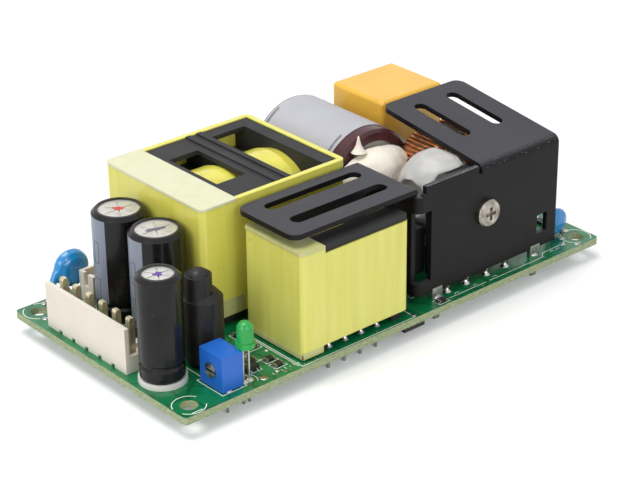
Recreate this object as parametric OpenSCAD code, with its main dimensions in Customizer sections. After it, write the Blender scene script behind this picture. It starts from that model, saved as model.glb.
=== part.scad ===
// Open frame AC/DC power supply on a four by two inch board.
// Origin: centre of the mounting hole pattern on the underside of the board.
// +X runs along the board towards the mains input end, +Z is up.

/* [Circuit board] */
// Length of the board
board_l = 101.6; // [98:0.1:112]
// Width of the board
board_w = 50.8; // [50:0.1:60]
// Thickness of the board
board_t = 1.4; // [1:0.1:2.4]
// Corner radius of the board
board_corner_r = 0.8; // [0.3:0.1:1.5]
// Diameter of the mounting holes
mount_hole_d = 3.2; // [2.6:0.1:3.6]
// Distance from the board edge to the centre of a mounting hole
mount_inset = 3.175; // [2.6:0.025:4]
// Length of the lead tails below the board
tail_len = 3; // [2.2:0.1:4]
// Diameter that a lead hole is wider than its lead
lead_clearance = 0.3; // [0.2:0.05:0.5]
// Height of a solder fillet
solder_h = 1.1; // [0.6:0.1:1.8]

/* [Output header] */
// Number of output positions
output_ways = 6; // [3:1:6]
// Pitch of the output positions
output_pitch = 3.96; // [3.5:0.01:4.2]
// Distance from the left board edge to the locking wall
output_inset = 1.3; // [0.8:0.1:2]
// Depth of the header base
output_base_depth = 5.9; // [5:0.1:6.5]
// Height of the header base
output_base_h = 3.2; // [2:0.1:5]
// Height of the locking wall
output_wall_h = 8.8; // [6:0.1:9.5]
// Thickness of the locking wall
output_wall_t = 0.9; // [0.6:0.05:1.4]
// Middle of the header along the board width
output_y = 4.7; // [3:0.1:6]
// Side of a square output pin
output_pin_w = 1.14; // [0.8:0.02:1.4]
// Height of the pins above the board
output_pin_h = 9.6; // [7:0.1:11]

/* [Large transformer] */
// Left side of the large transformer
large_left = -30.7; // [-31.5:0.1:-30]
// Front side of the large transformer
large_front = -5.3; // [-5.6:0.1:-4]
// Length along the board
large_l = 33.4; // [31:0.1:33.8]
// Width across the board
large_w = 28.4; // [26:0.1:29.5]
// Height above the board
large_h = 24.6; // [23:0.1:27]
// Thickness of the wrapped tape wall
large_tape_t = 1.1; // [0.6:0.1:1.4]
// Height of the pin rails under the tape
large_rail_h = 2; // [1.5:0.1:3]
// Thickness of the ferrite core from top to bottom
large_core_h = 14; // [10:0.1:15]
// Radius of the coil
large_coil_r = 10.9; // [9.5:0.1:11]

/* [Small transformer] */
// Left side of the small transformer
small_left = -24.1; // [-24.6:0.1:-23.6]
// Front side of the small transformer
small_front = -24.2; // [-24.5:0.1:-23.8]
// Length along the board
small_l = 25; // [23.5:0.1:25.4]
// Width across the board
small_w = 15.6; // [15:0.1:16.6]
// Height above the board
small_h = 21; // [19.8:0.1:21.6]
// Thickness of the wrapped tape wall
small_tape_t = 0.3; // [0.2:0.1:0.6]
// Thickness of the ferrite core from top to bottom
small_core_h = 11; // [9:0.1:12]
// Radius of the coil
small_coil_r = 7.3; // [6:0.1:7.4]

/* [Heatsink] */
// Thickness of the folded sheet
sink_t = 1; // [0.8:0.1:1.4]
// Inside radius of the folds
sink_fold_r = 0.6; // [0.4:0.1:1]
// Outer face of the side wall, towards the small transformer
sink_left = 4.6; // [4.2:0.1:5]
// Right end of the front wall
sink_right = 41.2; // [40:0.1:43]
// Distance from the front board edge to the outer face of the front wall
sink_inset = 2.9; // [2.4:0.1:3.2]
// Rear end of the side wall
sink_wall_rear = -6.5; // [-7.5:0.1:-6]
// Height of the flanges above the board
sink_h = 23.6; // [23:0.1:26]
// Gap between the walls and the board
sink_lift = 1.6; // [1:0.1:2.2]
// Reach of the flange over the small transformer
flange_reach = 28.1; // [26:0.1:28.2]
// Length of the rear flange over the choke
rear_flange_l = 26.1; // [24:0.1:28]
// Opening angle of the rear flange above level
rear_flange_tilt = 7; // [5:0.1:8]
// Left end of the rear flange
rear_flange_left = 20.8; // [20:0.1:22]
// Width of the flange slots
slot_w = 2.7; // [2:0.1:3.5]
// Corner radius of the flanges
flange_corner_r = 2; // [1:0.1:3]
// Diameter of the clamping screw
screw_d = 3; // [2.5:0.1:3]
// Diameter of the screw head
screw_head_d = 5.4; // [5:0.1:6]

/* [Bridge rectifier and transistor] */
// Centre of the bridge rectifier along the board
bridge_x = 22.2; // [21:0.1:23]
// Width of the bridge rectifier
bridge_w = 22; // [20:0.1:23]
// Thickness of the bridge rectifier
bridge_t = 3.7; // [3:0.1:4]
// Height of the bridge rectifier
bridge_h = 19.2; // [17:0.1:19.2]
// Pitch of the bridge leads
bridge_pitch = 5.08; // [4.5:0.01:5.5]
// Height of the clamping screw above the board
bridge_screw_h = 13.6; // [12:0.1:14.5]
// Width of the power transistor
transistor_w = 10; // [9:0.1:10.4]
// Thickness of the power transistor
transistor_t = 4.5; // [4:0.1:4.8]

/* [Capacitors] */
// Diameter of the bulk capacitor
bulk_d = 21; // [20:0.1:21.2]
// Length of the bulk capacitor
bulk_l = 24; // [22:0.1:24.5]
// Gap between the large transformer and the bulk capacitor
bulk_gap = 1.3; // [0.9:0.1:2.2]
// Rear end of the bulk capacitor
bulk_rear = 24.5; // [24:0.1:25.2]
// Height of the bulk capacitor's axis above the board
bulk_axis_h = 14.1; // [13.4:0.1:14.6]
// Width of the mains filter capacitor along the board
film_l = 16.2; // [15:0.1:16.6]
// Depth of the mains filter capacitor across the board
film_w = 15; // [14:0.1:15.2]
// Height of the mains filter capacitor
film_h = 24.4; // [22:0.1:26]
// Diameter of an output capacitor
output_cap_d = 10; // [9:0.1:10.2]
// Height of an output capacitor
output_cap_h = 20.9; // [18:0.1:22]
// Diameter of the small output capacitor
small_cap_d = 8; // [7:0.1:8.2]
// Height of the small output capacitor
small_cap_h = 20.6; // [18:0.1:22]
// Thickness of a shrink sleeve
sleeve_t = 0.15; // [0.1:0.05:0.3]
// Gap between neighbouring parts on the board
part_gap = 0.3; // [0.2:0.05:0.4]

/* [Common mode choke] */
// Outer radius of the ring core
ring_r = 10.3; // [9.4:0.1:10.4]
// Radius of the bore of the ring core
bore_r = 6.4; // [6:0.1:6.9]
// Width of the ring core
ring_w = 7; // [6:0.1:7]
// Diameter of the copper wire
wire_d = 0.8; // [0.6:0.05:0.85]
// Number of turns in each winding
turns = 20; // [12:1:20]

/* [Trimmer and lamp] */
// Size of the trimmer along the board
trimmer_l = 4.6; // [4:0.1:4.8]
// Size of the trimmer across the board
trimmer_w = 6.4; // [6:0.1:7]
// Height of the trimmer
trimmer_h = 6.6; // [6:0.1:6.7]
// Diameter of the trimmer's rotor
rotor_d = 2.7; // [2.2:0.1:3]
// Radial running clearance of the rotor
rotor_clearance = 0.03; // [0.02:0.01:0.06]
// Diameter of the indicator lamp
lamp_d = 3; // [2.8:0.1:3.2]

/* [Hidden] */
$fn = 48;
eps = 0.01;

top = board_t;
left_edge = -board_l / 2;
right_edge = board_l / 2;
front_edge = -board_w / 2;
rear_edge = board_w / 2;
mount_x = board_l / 2 - mount_inset;
mount_y = board_w / 2 - mount_inset;
touch = 0.02;

// Output header
output_wall_x = left_edge + output_inset;
output_len = output_ways * output_pitch;
output_pin_x = output_wall_x + 2.7;
function output_pin_y(i) = output_y + (i - (output_ways - 1) / 2) * output_pitch;

// Fan header, behind the output capacitors
fan_l = 5;
fan_w = 4.4;
fan_h = 5.8;
fan_x = left_edge + 14.3;
fan_y = rear_edge - 6.1;
fan_pin_w = 0.6;
fan_pitch = 2.5;

// Input header at the right end
input_ways = 3;
input_len = input_ways * output_pitch;
input_y = -0.1;
input_wall_x = right_edge - output_inset;
input_pin_x = input_wall_x - 2.7;

// Large transformer
large_right = large_left + large_l;
large_rear = large_front + large_w;
large_cx = (large_left + large_right) / 2;
large_cy = (large_front + large_rear) / 2;
large_top = top + large_h;
large_in = large_tape_t + touch;
large_axis_z = top + 12.3;
large_tube_r = 5.8;
large_leg_r = 5;
large_deck_t = 0.9;
large_deck_top = large_top - 0.3;
large_limb_l = 7.2;
large_limb_r = 1.8;
large_flange_t = 1.1;
large_pins_n = 6;
large_pin_pitch = 3.8;
large_pin_d = 0.9;

// Small transformer
small_right = small_left + small_l;
small_rear = small_front + small_w;
small_cx = (small_left + small_right) / 2;
small_cy = (small_front + small_rear) / 2;
small_top = top + small_h;
small_in = small_tape_t + touch;
small_axis_z = top + 10.9;
small_leg_r = 3.2;
small_tube_r = 4;
small_limb = 3.3;
small_pin_d = 0.7;
small_pin_pitch = 3.8;
small_pins_n = 4;
small_pin_x0 = small_left + 7.2;
small_rail_z = top + 1.2;
small_rail_h = 1.2;
small_rail_setback = 0.5;
small_tape_lift = 1.6;
small_cap_l = 5.4;
small_bar_rise = 1.5;

// Heatsink
sink_front = front_edge + sink_inset;
sink_top = top + sink_h;
sink_bottom = top + sink_lift;
fold_o = sink_fold_r + sink_t;
fold_z = sink_top - fold_o;
wall_inner_y = sink_front + sink_t;
wall_inner_x = sink_left + sink_t;
plain_top = sink_top - 0.1;
relief_z = [top + 4.2, top + 18.4];
relief_reach = 3.5;
slit_w = 0.9;
slit_h = 1.9;
fold_steps = 24;
flange_slot_shift = 3.45;
rear_slot_x = [rear_flange_left + 6, rear_flange_left + 14.5];
foot_w = 2.6;
foot_t = 0.8;
foot_notch_h = 0.6;
foot_x = [sink_left + 5.4, sink_right - 5.3];
foot_y = sink_front + sink_t / 2;

// Bridge rectifier, clamped to the inside of the front wall
bridge_y0 = wall_inner_y + 0.05;
bridge_z = top + 2.8;
bridge_screw_z = top + bridge_screw_h;
bridge_lead_y = bridge_y0 + 1.1;
bridge_lead_d = 1;

// Transistor, screwed to the inside of the side wall
transistor_x0 = wall_inner_x + 0.05;
transistor_y = (sink_front + fold_o + sink_wall_rear) / 2;
transistor_z = top + 4;
transistor_body_h = 9.2;
transistor_tab_h = 15.4;
transistor_tab_t = 1.3;
transistor_lead_w = 0.8;
transistor_pitch = 2.54;
transistor_hole_z = transistor_z + transistor_tab_h - 2.8;

// Bulk capacitor, lying across the board
bulk_x = large_right + bulk_gap + bulk_d / 2;
bulk_z = top + bulk_axis_h;
bulk_front = bulk_rear - bulk_l;
bulk_lead_pitch = 10;
bulk_lead_d = 1;
label_t = 0.1;

// Mains filter capacitor
film_x = bulk_x + bulk_d / 2 + label_t + part_gap + film_l / 2;
film_y = rear_edge - 0.9 - film_w / 2;
film_pitch = 10;
film_lead_d = 0.8;

// Common mode choke, standing between the bulk capacitor and the bridge
wind_gap = 0.12;
choke_half_w = ring_w / 2 + wind_gap + wire_d + 0.05;
choke_x = 28.8;
choke_y = bulk_front - part_gap - choke_half_w;
choke_r = ring_r + wind_gap + wire_d + 0.05;
choke_z = top + 0.9 + choke_r;
wind_span = 134;
choke_lead_d = wire_d;

// Silicone in the corner between the transistor and the bridge
blob_x = 16.8;
blob_r = 7;

// Output capacitors
output_cap_x = large_left - part_gap - output_cap_d / 2;
output_cap_y = [rear_edge - 13.5, rear_edge - 24.5];
small_cap_x = left_edge + 5.2;
small_cap_y = output_y - output_len / 2 - part_gap - small_cap_d / 2 - 0.9;
cap_lead_pitch = 5;
small_cap_lead_pitch = 3.5;
cap_lead_d = 0.6;

// Rod choke in shrink sleeve
rod_x = -36.4;
rod_y = -12.4;
rod_d = 7;
rod_h = 13.8;
rod_cap_d = 4.8;
rod_cap_h = 18.4;
rod_cap_shift = 0.9;
rod_lead_pitch = 4;

// Trimmer
trimmer_x0 = left_edge + 9.6;
trimmer_y = front_edge + 5.25;
trimmer_z0 = top + 0.1;
rotor_z = top + 3.4;
rotor_len = 1.6;
rotor_proud = 0.25;
rotor_shaft_d = 1.4;
rotor_shaft_l = 1.2;
trimmer_lead_pitch = 2.54;

// Indicator lamp
lamp_x = trimmer_x0 + trimmer_l + 1.3;
lamp_y = front_edge + 3.1;
lamp_z = top + 6.75;
lamp_body_h = 3.4;
lamp_flange_d = lamp_d + 0.5;
lamp_pitch = 1.27;

// Disc capacitors, each as [x, y, z, diameter, thickness]
DISCS = [[left_edge + 11.4, rear_edge - 2, 7, 7.6, 3.6], [right_edge - 5.8, front_edge + 6.2, top + 3.1, 5.6, 3]];

// Fuses in small square boxes
fuse_l = 7.2;
fuse_w = 4;
fuse_h = 8;
fuse_pitch = 5.08;
fuse_x = right_edge - 4.4;
fuse_y = [rear_edge - 14.4, rear_edge - 7.9];

// Lead positions, each as [x, y, diameter]
LARGE_PINS = [for (s = [0, 1]) for (i = [0:large_pins_n - 1])
    [s == 0 ? large_left + 2.6 : large_right - 2.6,
     large_cy + (i - (large_pins_n - 1) / 2) * large_pin_pitch, large_pin_d]];
SMALL_PINS = [for (s = [0, 1]) for (i = [0:small_pins_n - 1])
    [small_pin_x0 + i * small_pin_pitch,
     s == 0 ? small_front + 1.7 : small_rear - 1.7, small_pin_d]];
BRIDGE_LEADS = [for (i = [0:3]) [bridge_x + (i - 1.5) * bridge_pitch, bridge_lead_y, bridge_lead_d]];
TRANSISTOR_LEADS = [for (i = [-1:1])
    [transistor_x0 + transistor_tab_t + 0.9, transistor_y + i * transistor_pitch, transistor_lead_w]];
BULK_LEADS = [for (s = [-1, 1]) [bulk_x - 1, bulk_front - 2.4 - s, bulk_lead_d]];
function bulk_lead_z(i) = bulk_z + (i - 0.5) * bulk_lead_pitch;
FILM_LEADS = [for (s = [-1, 1]) [film_x + s * film_pitch / 2, film_y, film_lead_d]];
CHOKE_LEADS = [for (sx = [-1, 1]) for (sy = [-1, 1])
    [choke_x + sx * 7.2, choke_y + sy * (ring_w / 2 + 0.3), choke_lead_d]];
OUTPUT_CAP_LEADS = [for (y = output_cap_y) for (s = [-1, 1])
    [output_cap_x, y + s * cap_lead_pitch / 2, cap_lead_d]];
SMALL_CAP_LEADS = [for (s = [-1, 1])
    [small_cap_x, small_cap_y + s * small_cap_lead_pitch / 2, cap_lead_d]];
ROD_LEADS = [for (s = [-1, 1]) [rod_x, rod_y + s * rod_lead_pitch / 2, 0.7]];
TRIMMER_LEADS = [for (i = [-1:1])
    [trimmer_x0 + trimmer_l / 2 + (i == 0 ? 1.2 : -0.9), trimmer_y + i * trimmer_lead_pitch, 0.5]];
LAMP_LEADS = [for (s = [-1, 1]) [lamp_x + s * lamp_pitch / 2, lamp_y, 0.5]];
FAN_PINS = [for (s = [-1, 1]) [fan_x + s * fan_pitch / 2, fan_y, fan_pin_w * 1.414]];
OUTPUT_PINS = [for (i = [0:output_ways - 1]) [output_pin_x, output_pin_y(i), output_pin_w * 1.414]];
INPUT_PINS = [for (s = [-1, 1]) [input_pin_x, input_y + s * output_pitch, output_pin_w * 1.414]];
FOOT_TAILS = [for (x = foot_x) [x, foot_y, 1.4]];
DISC_LEADS = [[DISCS[0][0] - 5.8, DISCS[0][1] - 0.2, 0.7], [DISCS[0][0] - 4.5, DISCS[0][1] - 3.2, 0.7],
    [DISCS[1][0] - 1.9, DISCS[1][1], 0.7], [DISCS[1][0] + 1.9, DISCS[1][1], 0.7]];
FUSE_LEADS = [for (y = fuse_y) for (s = [-1, 1]) [fuse_x + s * fuse_pitch / 2, y, 0.6]];

ALL_LEADS = concat(LARGE_PINS, SMALL_PINS, BRIDGE_LEADS, TRANSISTOR_LEADS, BULK_LEADS, FILM_LEADS,
    CHOKE_LEADS, OUTPUT_CAP_LEADS, SMALL_CAP_LEADS, ROD_LEADS, TRIMMER_LEADS, LAMP_LEADS,
    FAN_PINS, OUTPUT_PINS, INPUT_PINS, FOOT_TAILS, DISC_LEADS, FUSE_LEADS);

// ---------- shared shapes ----------

// Box from its low corner to its high corner
module span(a, b) {
    translate(a) cube([b[0] - a[0], b[1] - a[1], b[2] - a[2]]);
}

// Round rod from point a to point b
module rod(a, b, d) {
    v = b - a;
    l = norm(v);
    translate(a) rotate([0, acos(v[2] / l), atan2(v[1], v[0])]) cylinder(h = l, d = d, $fn = 20);
}

// Straight lead through the board up to height h above it
module lead(p, h, d = 0) {
    translate([p[0], p[1], -tail_len])
        cylinder(h = tail_len + top + h, d = d > 0 ? d : p[2], $fn = 20);
}

// Square pin through the board with a chamfered tip
module square_pin(p, w, h) {
    tip = w * 0.35;
    translate([p[0], p[1], 0]) intersection() {
        span([-w / 2, -w / 2, -tail_len], [w / 2, w / 2, top + h]);
        rotate([90, 0, 0]) linear_extrude(w, center = true) polygon([
            [-w / 2, -tail_len], [w / 2, -tail_len], [w / 2, top + h - tip],
            [w / 2 - tip / 2, top + h], [-w / 2 + tip / 2, top + h], [-w / 2, top + h - tip]]);
    }
}

// Upright block with round vertical edges
module round_block(a, b, r) {
    span([a[0] + r, a[1], a[2]], [b[0] - r, b[1], b[2]]);
    span([a[0], a[1] + r, a[2]], [b[0], b[1] - r, b[2]]);
    for (x = [a[0] + r, b[0] - r]) for (y = [a[1] + r, b[1] - r])
        translate([x, y, a[2]]) cylinder(h = b[2] - a[2], r = r, $fn = 32);
}

// Block whose vertical and top edges are all round
module pillow_block(a, b, r) {
    round_block(a, [b[0], b[1], b[2] - r], r);
    span([a[0] + r, a[1] + r, b[2] - r], [b[0] - r, b[1] - r, b[2]]);
    for (y = [a[1] + r, b[1] - r]) translate([a[0] + r, y, b[2] - r]) rotate([0, 90, 0])
        cylinder(h = b[0] - a[0] - 2 * r, r = r, $fn = 32);
    for (x = [a[0] + r, b[0] - r]) translate([x, a[1] + r, b[2] - r]) rotate([-90, 0, 0])
        cylinder(h = b[1] - a[1] - 2 * r, r = r, $fn = 32);
    for (x = [a[0] + r, b[0] - r]) for (y = [a[1] + r, b[1] - r])
        translate([x, y, b[2] - r]) sphere(r = r, $fn = 32);
}

// Tube with a rectangular section, as tape wrapped round a block
module tape_wall(a, b, t, r) {
    difference() {
        round_block(a, b, r);
        span([a[0] + t, a[1] + t, a[2] - 1], [b[0] - t, b[1] - t, b[2] + 1]);
    }
}

// ---------- board ----------

module circuit_board() {
    color([0.05, 0.5, 0.3]) difference() {
        round_block([left_edge, front_edge, 0], [right_edge, rear_edge, board_t], board_corner_r);
        for (sx = [-1, 1]) for (sy = [-1, 1]) translate([sx * mount_x, sy * mount_y, -1])
            cylinder(h = board_t + 2, d = mount_hole_d);
        for (p = ALL_LEADS) translate([p[0], p[1], -1])
            cylinder(h = board_t + 2, d = p[2] + lead_clearance, $fn = 20);
    }
}

module solder_joints() {
    color([0.75, 0.76, 0.78]) for (p = ALL_LEADS) translate([p[0], p[1], -solder_h]) difference() {
        rotate_extrude($fn = 20) polygon([
            [0, 0], [p[2] / 2 + 0.15, 0], [p[2] / 2 + 0.35, solder_h * 0.55],
            [p[2] / 2 + 0.75, solder_h], [0, solder_h]]);
        translate([0, 0, -1]) cylinder(h = solder_h + 2, d = p[2] + 2 * touch, $fn = 20);
    }
}

// Chip parts, each as [x, y, length, width, height]
TOP_CHIPS = [
    [-32.6, -20.2, 2.9, 1.3, 1.1], [-30.6, -17.6, 2, 1.25, 0.5], [-30.6, -14.8, 1.25, 2, 0.5],
    [-27.8, -21.8, 2, 1.25, 0.5], [-27.8, -19.4, 2, 1.25, 0.5], [-27.8, -14, 3.2, 1.6, 0.6],
    [-26.6, -10, 1.6, 3.2, 0.6], [-31, -9.6, 2, 1.25, 0.5], [9.6, -23.9, 2, 1.25, 0.5],
    [47, -13.4, 1.6, 3.2, 0.6]];
BOTTOM_CHIPS = [
    [2.4, front_edge + 3, 5, 4, 1.6], [14, -12.8, 10, 6, 1.7], [-20, 16, 5, 6, 1.1],
    [-20, 3.6, 5, 6, 1.1], [28, -13, 3.2, 1.6, 0.7], [26, 4, 3.2, 2.5, 1.2],
    [-12, -16, 5, 4, 1.5], [-7, 2, 3.2, 1.6, 0.7], [-43.4, -19.4, 2.9, 1.3, 1],
    [-21, -9, 3.2, 1.6, 0.7], [12, 12, 5, 4, 1.5], [22, 14, 3.2, 1.6, 0.7]];

module surface_parts_top() {
    color([0.12, 0.12, 0.12]) for (c = TOP_CHIPS)
        span([c[0] - c[2] / 2, c[1] - c[3] / 2, top], [c[0] + c[2] / 2, c[1] + c[3] / 2, top + c[4]]);
}

module surface_parts_bottom() {
    color([0.12, 0.12, 0.12]) for (c = BOTTOM_CHIPS)
        span([c[0] - c[2] / 2, c[1] - c[3] / 2, -c[4]], [c[0] + c[2] / 2, c[1] + c[3] / 2, 0]);
}

// ---------- headers ----------

// Ivory header with a locking wall; side -1 puts the wall on the left
module power_header(wall_x, mid_y, ways, side) {
    len = ways * output_pitch;
    y0 = mid_y - len / 2;
    inner = wall_x - side * output_base_depth;
    x0 = min(wall_x, inner);
    x1 = max(wall_x, inner);
    pin_x = wall_x - side * 2.7;
    face_x = side < 0 ? wall_x : wall_x - output_wall_t;
    difference() {
        union() {
            span([x0, y0, top], [x1, y0 + len, top + output_base_h]);
            span([face_x, y0, top], [face_x + output_wall_t, y0 + len, top + output_wall_h]);
        }
        for (i = [0:ways - 1]) translate([pin_x, y0 + (i + 0.5) * output_pitch, top - 1])
            cylinder(h = output_base_h + 2, d = output_pin_w * 1.414 + 2 * touch, $fn = 24);
        for (i = [1:ways - 1])
            span([x0 - 1, y0 + i * output_pitch - 0.5, top - 1], [x1 + 1, y0 + i * output_pitch + 0.5, top + 0.6]);
        for (i = [0:ways - 1])
            span([x0 + (side < 0 ? output_wall_t : -1), y0 + (i + 0.5) * output_pitch - 1.2, top + output_base_h - 0.7],
                [x1 - (side < 0 ? -1 : output_wall_t), y0 + (i + 0.5) * output_pitch + 1.2, top + output_base_h + 1]);
    }
}

module output_header() {
    color([0.92, 0.9, 0.84]) power_header(output_wall_x, output_y, output_ways, -1);
}

module output_pins() {
    color([0.8, 0.78, 0.68]) for (p = OUTPUT_PINS) square_pin(p, output_pin_w, output_pin_h);
}

module input_header() {
    color([0.92, 0.9, 0.84]) power_header(input_wall_x, input_y, input_ways, 1);
}

module input_pins() {
    color([0.8, 0.78, 0.68]) for (p = INPUT_PINS) square_pin(p, output_pin_w, output_pin_h);
}

module fan_header() {
    wall = 0.7;
    x0 = fan_x - fan_l / 2;
    y0 = fan_y - fan_w / 2;
    color([0.92, 0.9, 0.84]) difference() {
        span([x0, y0, top], [x0 + fan_l, y0 + fan_w, top + fan_h]);
        span([x0 + wall, y0 + wall, top + 1.6], [x0 + fan_l - wall, y0 + fan_w - wall, top + fan_h + 1]);
        span([x0 - 1, y0 + fan_w / 2 - 0.6, top + fan_h - 2.6], [x0 + fan_l + 1, y0 + fan_w / 2 + 0.6, top + fan_h + 1]);
        for (p = FAN_PINS) translate([p[0], p[1], top - 1])
            cylinder(h = 4, d = fan_pin_w * 1.414 + 2 * touch, $fn = 20);
    }
}

module fan_pins() {
    color([0.8, 0.78, 0.68]) for (p = FAN_PINS) square_pin(p, fan_pin_w, fan_h - 0.8);
}

// ---------- large transformer, coil axis along the board ----------

// Round tool along X through the middle of the large transformer
module large_round(x0, x1, r) {
    translate([x0, large_cy, large_axis_z]) rotate([0, 90, 0]) cylinder(h = x1 - x0, r = r, $fn = 64);
}

large_win_x0 = large_left + large_in + large_limb_l;
large_win_x1 = large_right - large_in - large_limb_r;

module large_transformer_core() {
    z0 = large_axis_z - large_core_h / 2;
    z1 = large_axis_z + large_core_h / 2;
    color([0.16, 0.16, 0.17]) union() {
        difference() {
            span([large_left + large_in, large_front + large_in, z0],
                [large_right - large_in, large_rear - large_in, z1]);
            large_round(large_win_x0, large_win_x1, large_coil_r + 0.7);
        }
        large_round(large_win_x0 - 1, large_win_x1 + 1, large_leg_r);
    }
}

module large_transformer_bobbin() {
    z1 = large_deck_top - large_deck_t;
    core_z0 = large_axis_z - large_core_h / 2 - touch;
    core_z1 = large_axis_z + large_core_h / 2 + touch;
    y0 = large_front + large_in + touch;
    y1 = large_rear - large_in - touch;
    x0 = large_win_x0 + touch;
    x1 = large_win_x1 - touch;
    rail_top = top + large_rail_h;
    rib_x = large_left + 17.6;
    color([0.2, 0.2, 0.21]) difference() {
        union() {
            large_round(x0, x1, large_tube_r);
            for (x = [x0, rib_x, rib_x + 2.5, x1 - large_flange_t]) {
                large_round(x, x + large_flange_t, large_coil_r + 0.4);
                span([x, y0, core_z1], [x + large_flange_t, y1, z1 + eps]);
                span([x, y0 + 4, top], [x + large_flange_t, y1 - 4, core_z0]);
            }
            difference() {
                span([x0, y0, z1], [large_right - large_in - touch, y1, large_deck_top]);
                span([large_left + 9.3, large_front + 7.4, z1 - 1], [large_left + 15.9, large_front + 21.4, large_top]);
                span([rib_x + 3.7, large_front + 1.6, z1 - 1], [x1 - large_flange_t - touch, large_front + 24.4, large_top]);
            }
            for (x = [rib_x, rib_x + 2.5])
                span([x, y0, z1], [x + large_flange_t, y1, large_top]);
            span([large_left + large_in, y0, top], [x0 + large_flange_t, y1, rail_top]);
            span([x1 - large_flange_t, y0, top], [large_right - large_in, y1, rail_top]);
        }
        large_round(x0 - 1, x1 + 1, large_leg_r + 0.1);
        for (p = LARGE_PINS) translate([p[0], p[1], top - 1])
            cylinder(h = large_rail_h + 2, d = p[2] + 2 * touch, $fn = 20);
    }
}

// Ring of taped wire round the bobbin, with a crowned outside
module large_section(x0, x1) {
    crown = 0.5;
    translate([x0, large_cy, large_axis_z]) rotate([0, 90, 0]) rotate_extrude($fn = 72) polygon([
        [large_tube_r + touch, 0], [large_coil_r - crown, 0], [large_coil_r, (x1 - x0) * 0.25],
        [large_coil_r, (x1 - x0) * 0.75], [large_coil_r - crown, x1 - x0],
        [large_tube_r + touch, x1 - x0]]);
}

module large_transformer_coil() {
    rib_x = large_left + 17.6;
    color([0.85, 0.83, 0.4]) {
        large_section(large_win_x0 + large_flange_t + 2 * touch, rib_x - touch);
        large_section(rib_x + 2.5 + large_flange_t + touch, large_win_x1 - large_flange_t - 3 * touch);
    }
}

module large_transformer_tape() {
    color([0.89, 0.87, 0.4]) tape_wall([large_left, large_front, top + large_rail_h + touch],
        [large_right, large_rear, large_top - 0.1], large_tape_t, 1.2);
}

module large_transformer_top_tape() {
    skirt = 0.5;
    t = 0.12;
    x1 = large_win_x0 - 0.4;
    z1 = large_top + 0.04;
    color([0.93, 0.92, 0.78]) difference() {
        round_block([large_left - t, large_front - t, z1 - skirt],
            [x1 + 4, large_rear + t, z1], 1.3);
        round_block([large_left - 0.01, large_front - 0.01, z1 - skirt - 1],
            [x1 + 6, large_rear + 0.01, z1 - t], 1.21);
        span([x1, large_front - 2, z1 - skirt - 1], [x1 + 6, large_rear + 2, z1 + 1]);
    }
}

module large_transformer_pins() {
    color([0.78, 0.78, 0.76]) for (p = LARGE_PINS) lead(p, large_rail_h - 0.2);
}

// ---------- small transformer, coil axis across the board ----------

module small_round(y0, y1, r) {
    translate([small_cx, y0, small_axis_z]) rotate([-90, 0, 0]) cylinder(h = y1 - y0, r = r, $fn = 64);
}

small_win_y0 = small_front + small_in + small_limb;
small_win_y1 = small_rear - small_in - small_limb;

module small_transformer_core() {
    z0 = small_axis_z - small_core_h / 2;
    z1 = small_axis_z + small_core_h / 2;
    color([0.16, 0.16, 0.17]) union() {
        difference() {
            span([small_left + small_in, small_front + small_in, z0],
                [small_right - small_in, small_rear - small_in, z1]);
            small_round(small_win_y0, small_win_y1, small_coil_r + 0.6);
        }
        small_round(small_win_y0 - 1, small_win_y1 + 1, small_leg_r);
    }
}

module small_transformer_bobbin() {
    flange = 0.9;
    bar_t = 1.8;
    bar_top = small_top - 0.1;
    core_z0 = small_axis_z - small_core_h / 2 - touch;
    core_z1 = small_axis_z + small_core_h / 2 + touch;
    x0 = small_left + small_in + touch;
    x1 = small_right - small_in - touch;
    y0 = small_win_y0 + touch;
    y1 = small_win_y1 - touch;
    bar_x0 = small_left + small_cap_l + touch;
    rail_y0 = small_front + small_in + small_rail_setback;
    rail_y1 = small_rear - small_in - small_rail_setback;
    color([0.2, 0.2, 0.21]) difference() {
        union() {
            small_round(y0, y1, small_tube_r);
            for (y = [y0, y1 - flange]) {
                small_round(y, y + flange, small_coil_r + 0.3);
                span([bar_x0, y, core_z1], [x1, y + flange, bar_top]);
                span([small_left + 8, y, small_rail_z], [small_right - 4, y + flange, core_z0]);
            }
            span([bar_x0, small_front + small_in, bar_top - bar_t], [x1, y0 + flange, bar_top]);
            span([bar_x0, y1 - flange, bar_top - bar_t], [x1, small_rear - small_in, bar_top]);
            span([x0, rail_y0, small_rail_z], [x1, y0 + flange, small_rail_z + small_rail_h]);
            span([x0, y1 - flange, small_rail_z], [x1, rail_y1, small_rail_z + small_rail_h]);
            for (x = [small_left + 3.4, small_right - 3.4]) for (y = [rail_y0, rail_y1 - 2])
                span([x, y, top], [x + 2.4, y + 2, small_rail_z + eps]);
        }
        small_round(y0 - 1, y1 + 1, small_leg_r + 0.1);
        for (p = SMALL_PINS) translate([p[0], p[1], top - 1])
            cylinder(h = small_rail_h + 3, d = p[2] + 2 * touch, $fn = 20);
    }
}

module small_transformer_coil() {
    crown = 0.4;
    l = small_win_y1 - small_win_y0 - 1.8 - 6 * touch;
    color([0.86, 0.85, 0.45]) translate([small_cx, small_win_y0 + 0.9 + 3 * touch, small_axis_z])
        rotate([-90, 0, 0]) rotate_extrude($fn = 72) polygon([
            [small_tube_r + touch, 0], [small_coil_r - crown, 0], [small_coil_r, l * 0.25],
            [small_coil_r, l * 0.75], [small_coil_r - crown, l], [small_tube_r + touch, l]]);
}

module small_transformer_tape() {
    x0 = small_left + small_cap_l - 0.6;
    x1 = small_left + small_cap_l;
    color([0.87, 0.86, 0.5]) difference() {
        tape_wall([small_left, small_front, top + 0.3], [small_right, small_rear, small_top - 0.1], small_tape_t, 0.9);
        span([x0, small_front - 1, top - 1], [small_right + 1, small_rear + 1, top + small_tape_lift]);
        span([x1, small_front - 1, small_top - small_bar_rise], [small_right + 1, small_rear + 1, small_top + 1]);
    }
}

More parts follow.
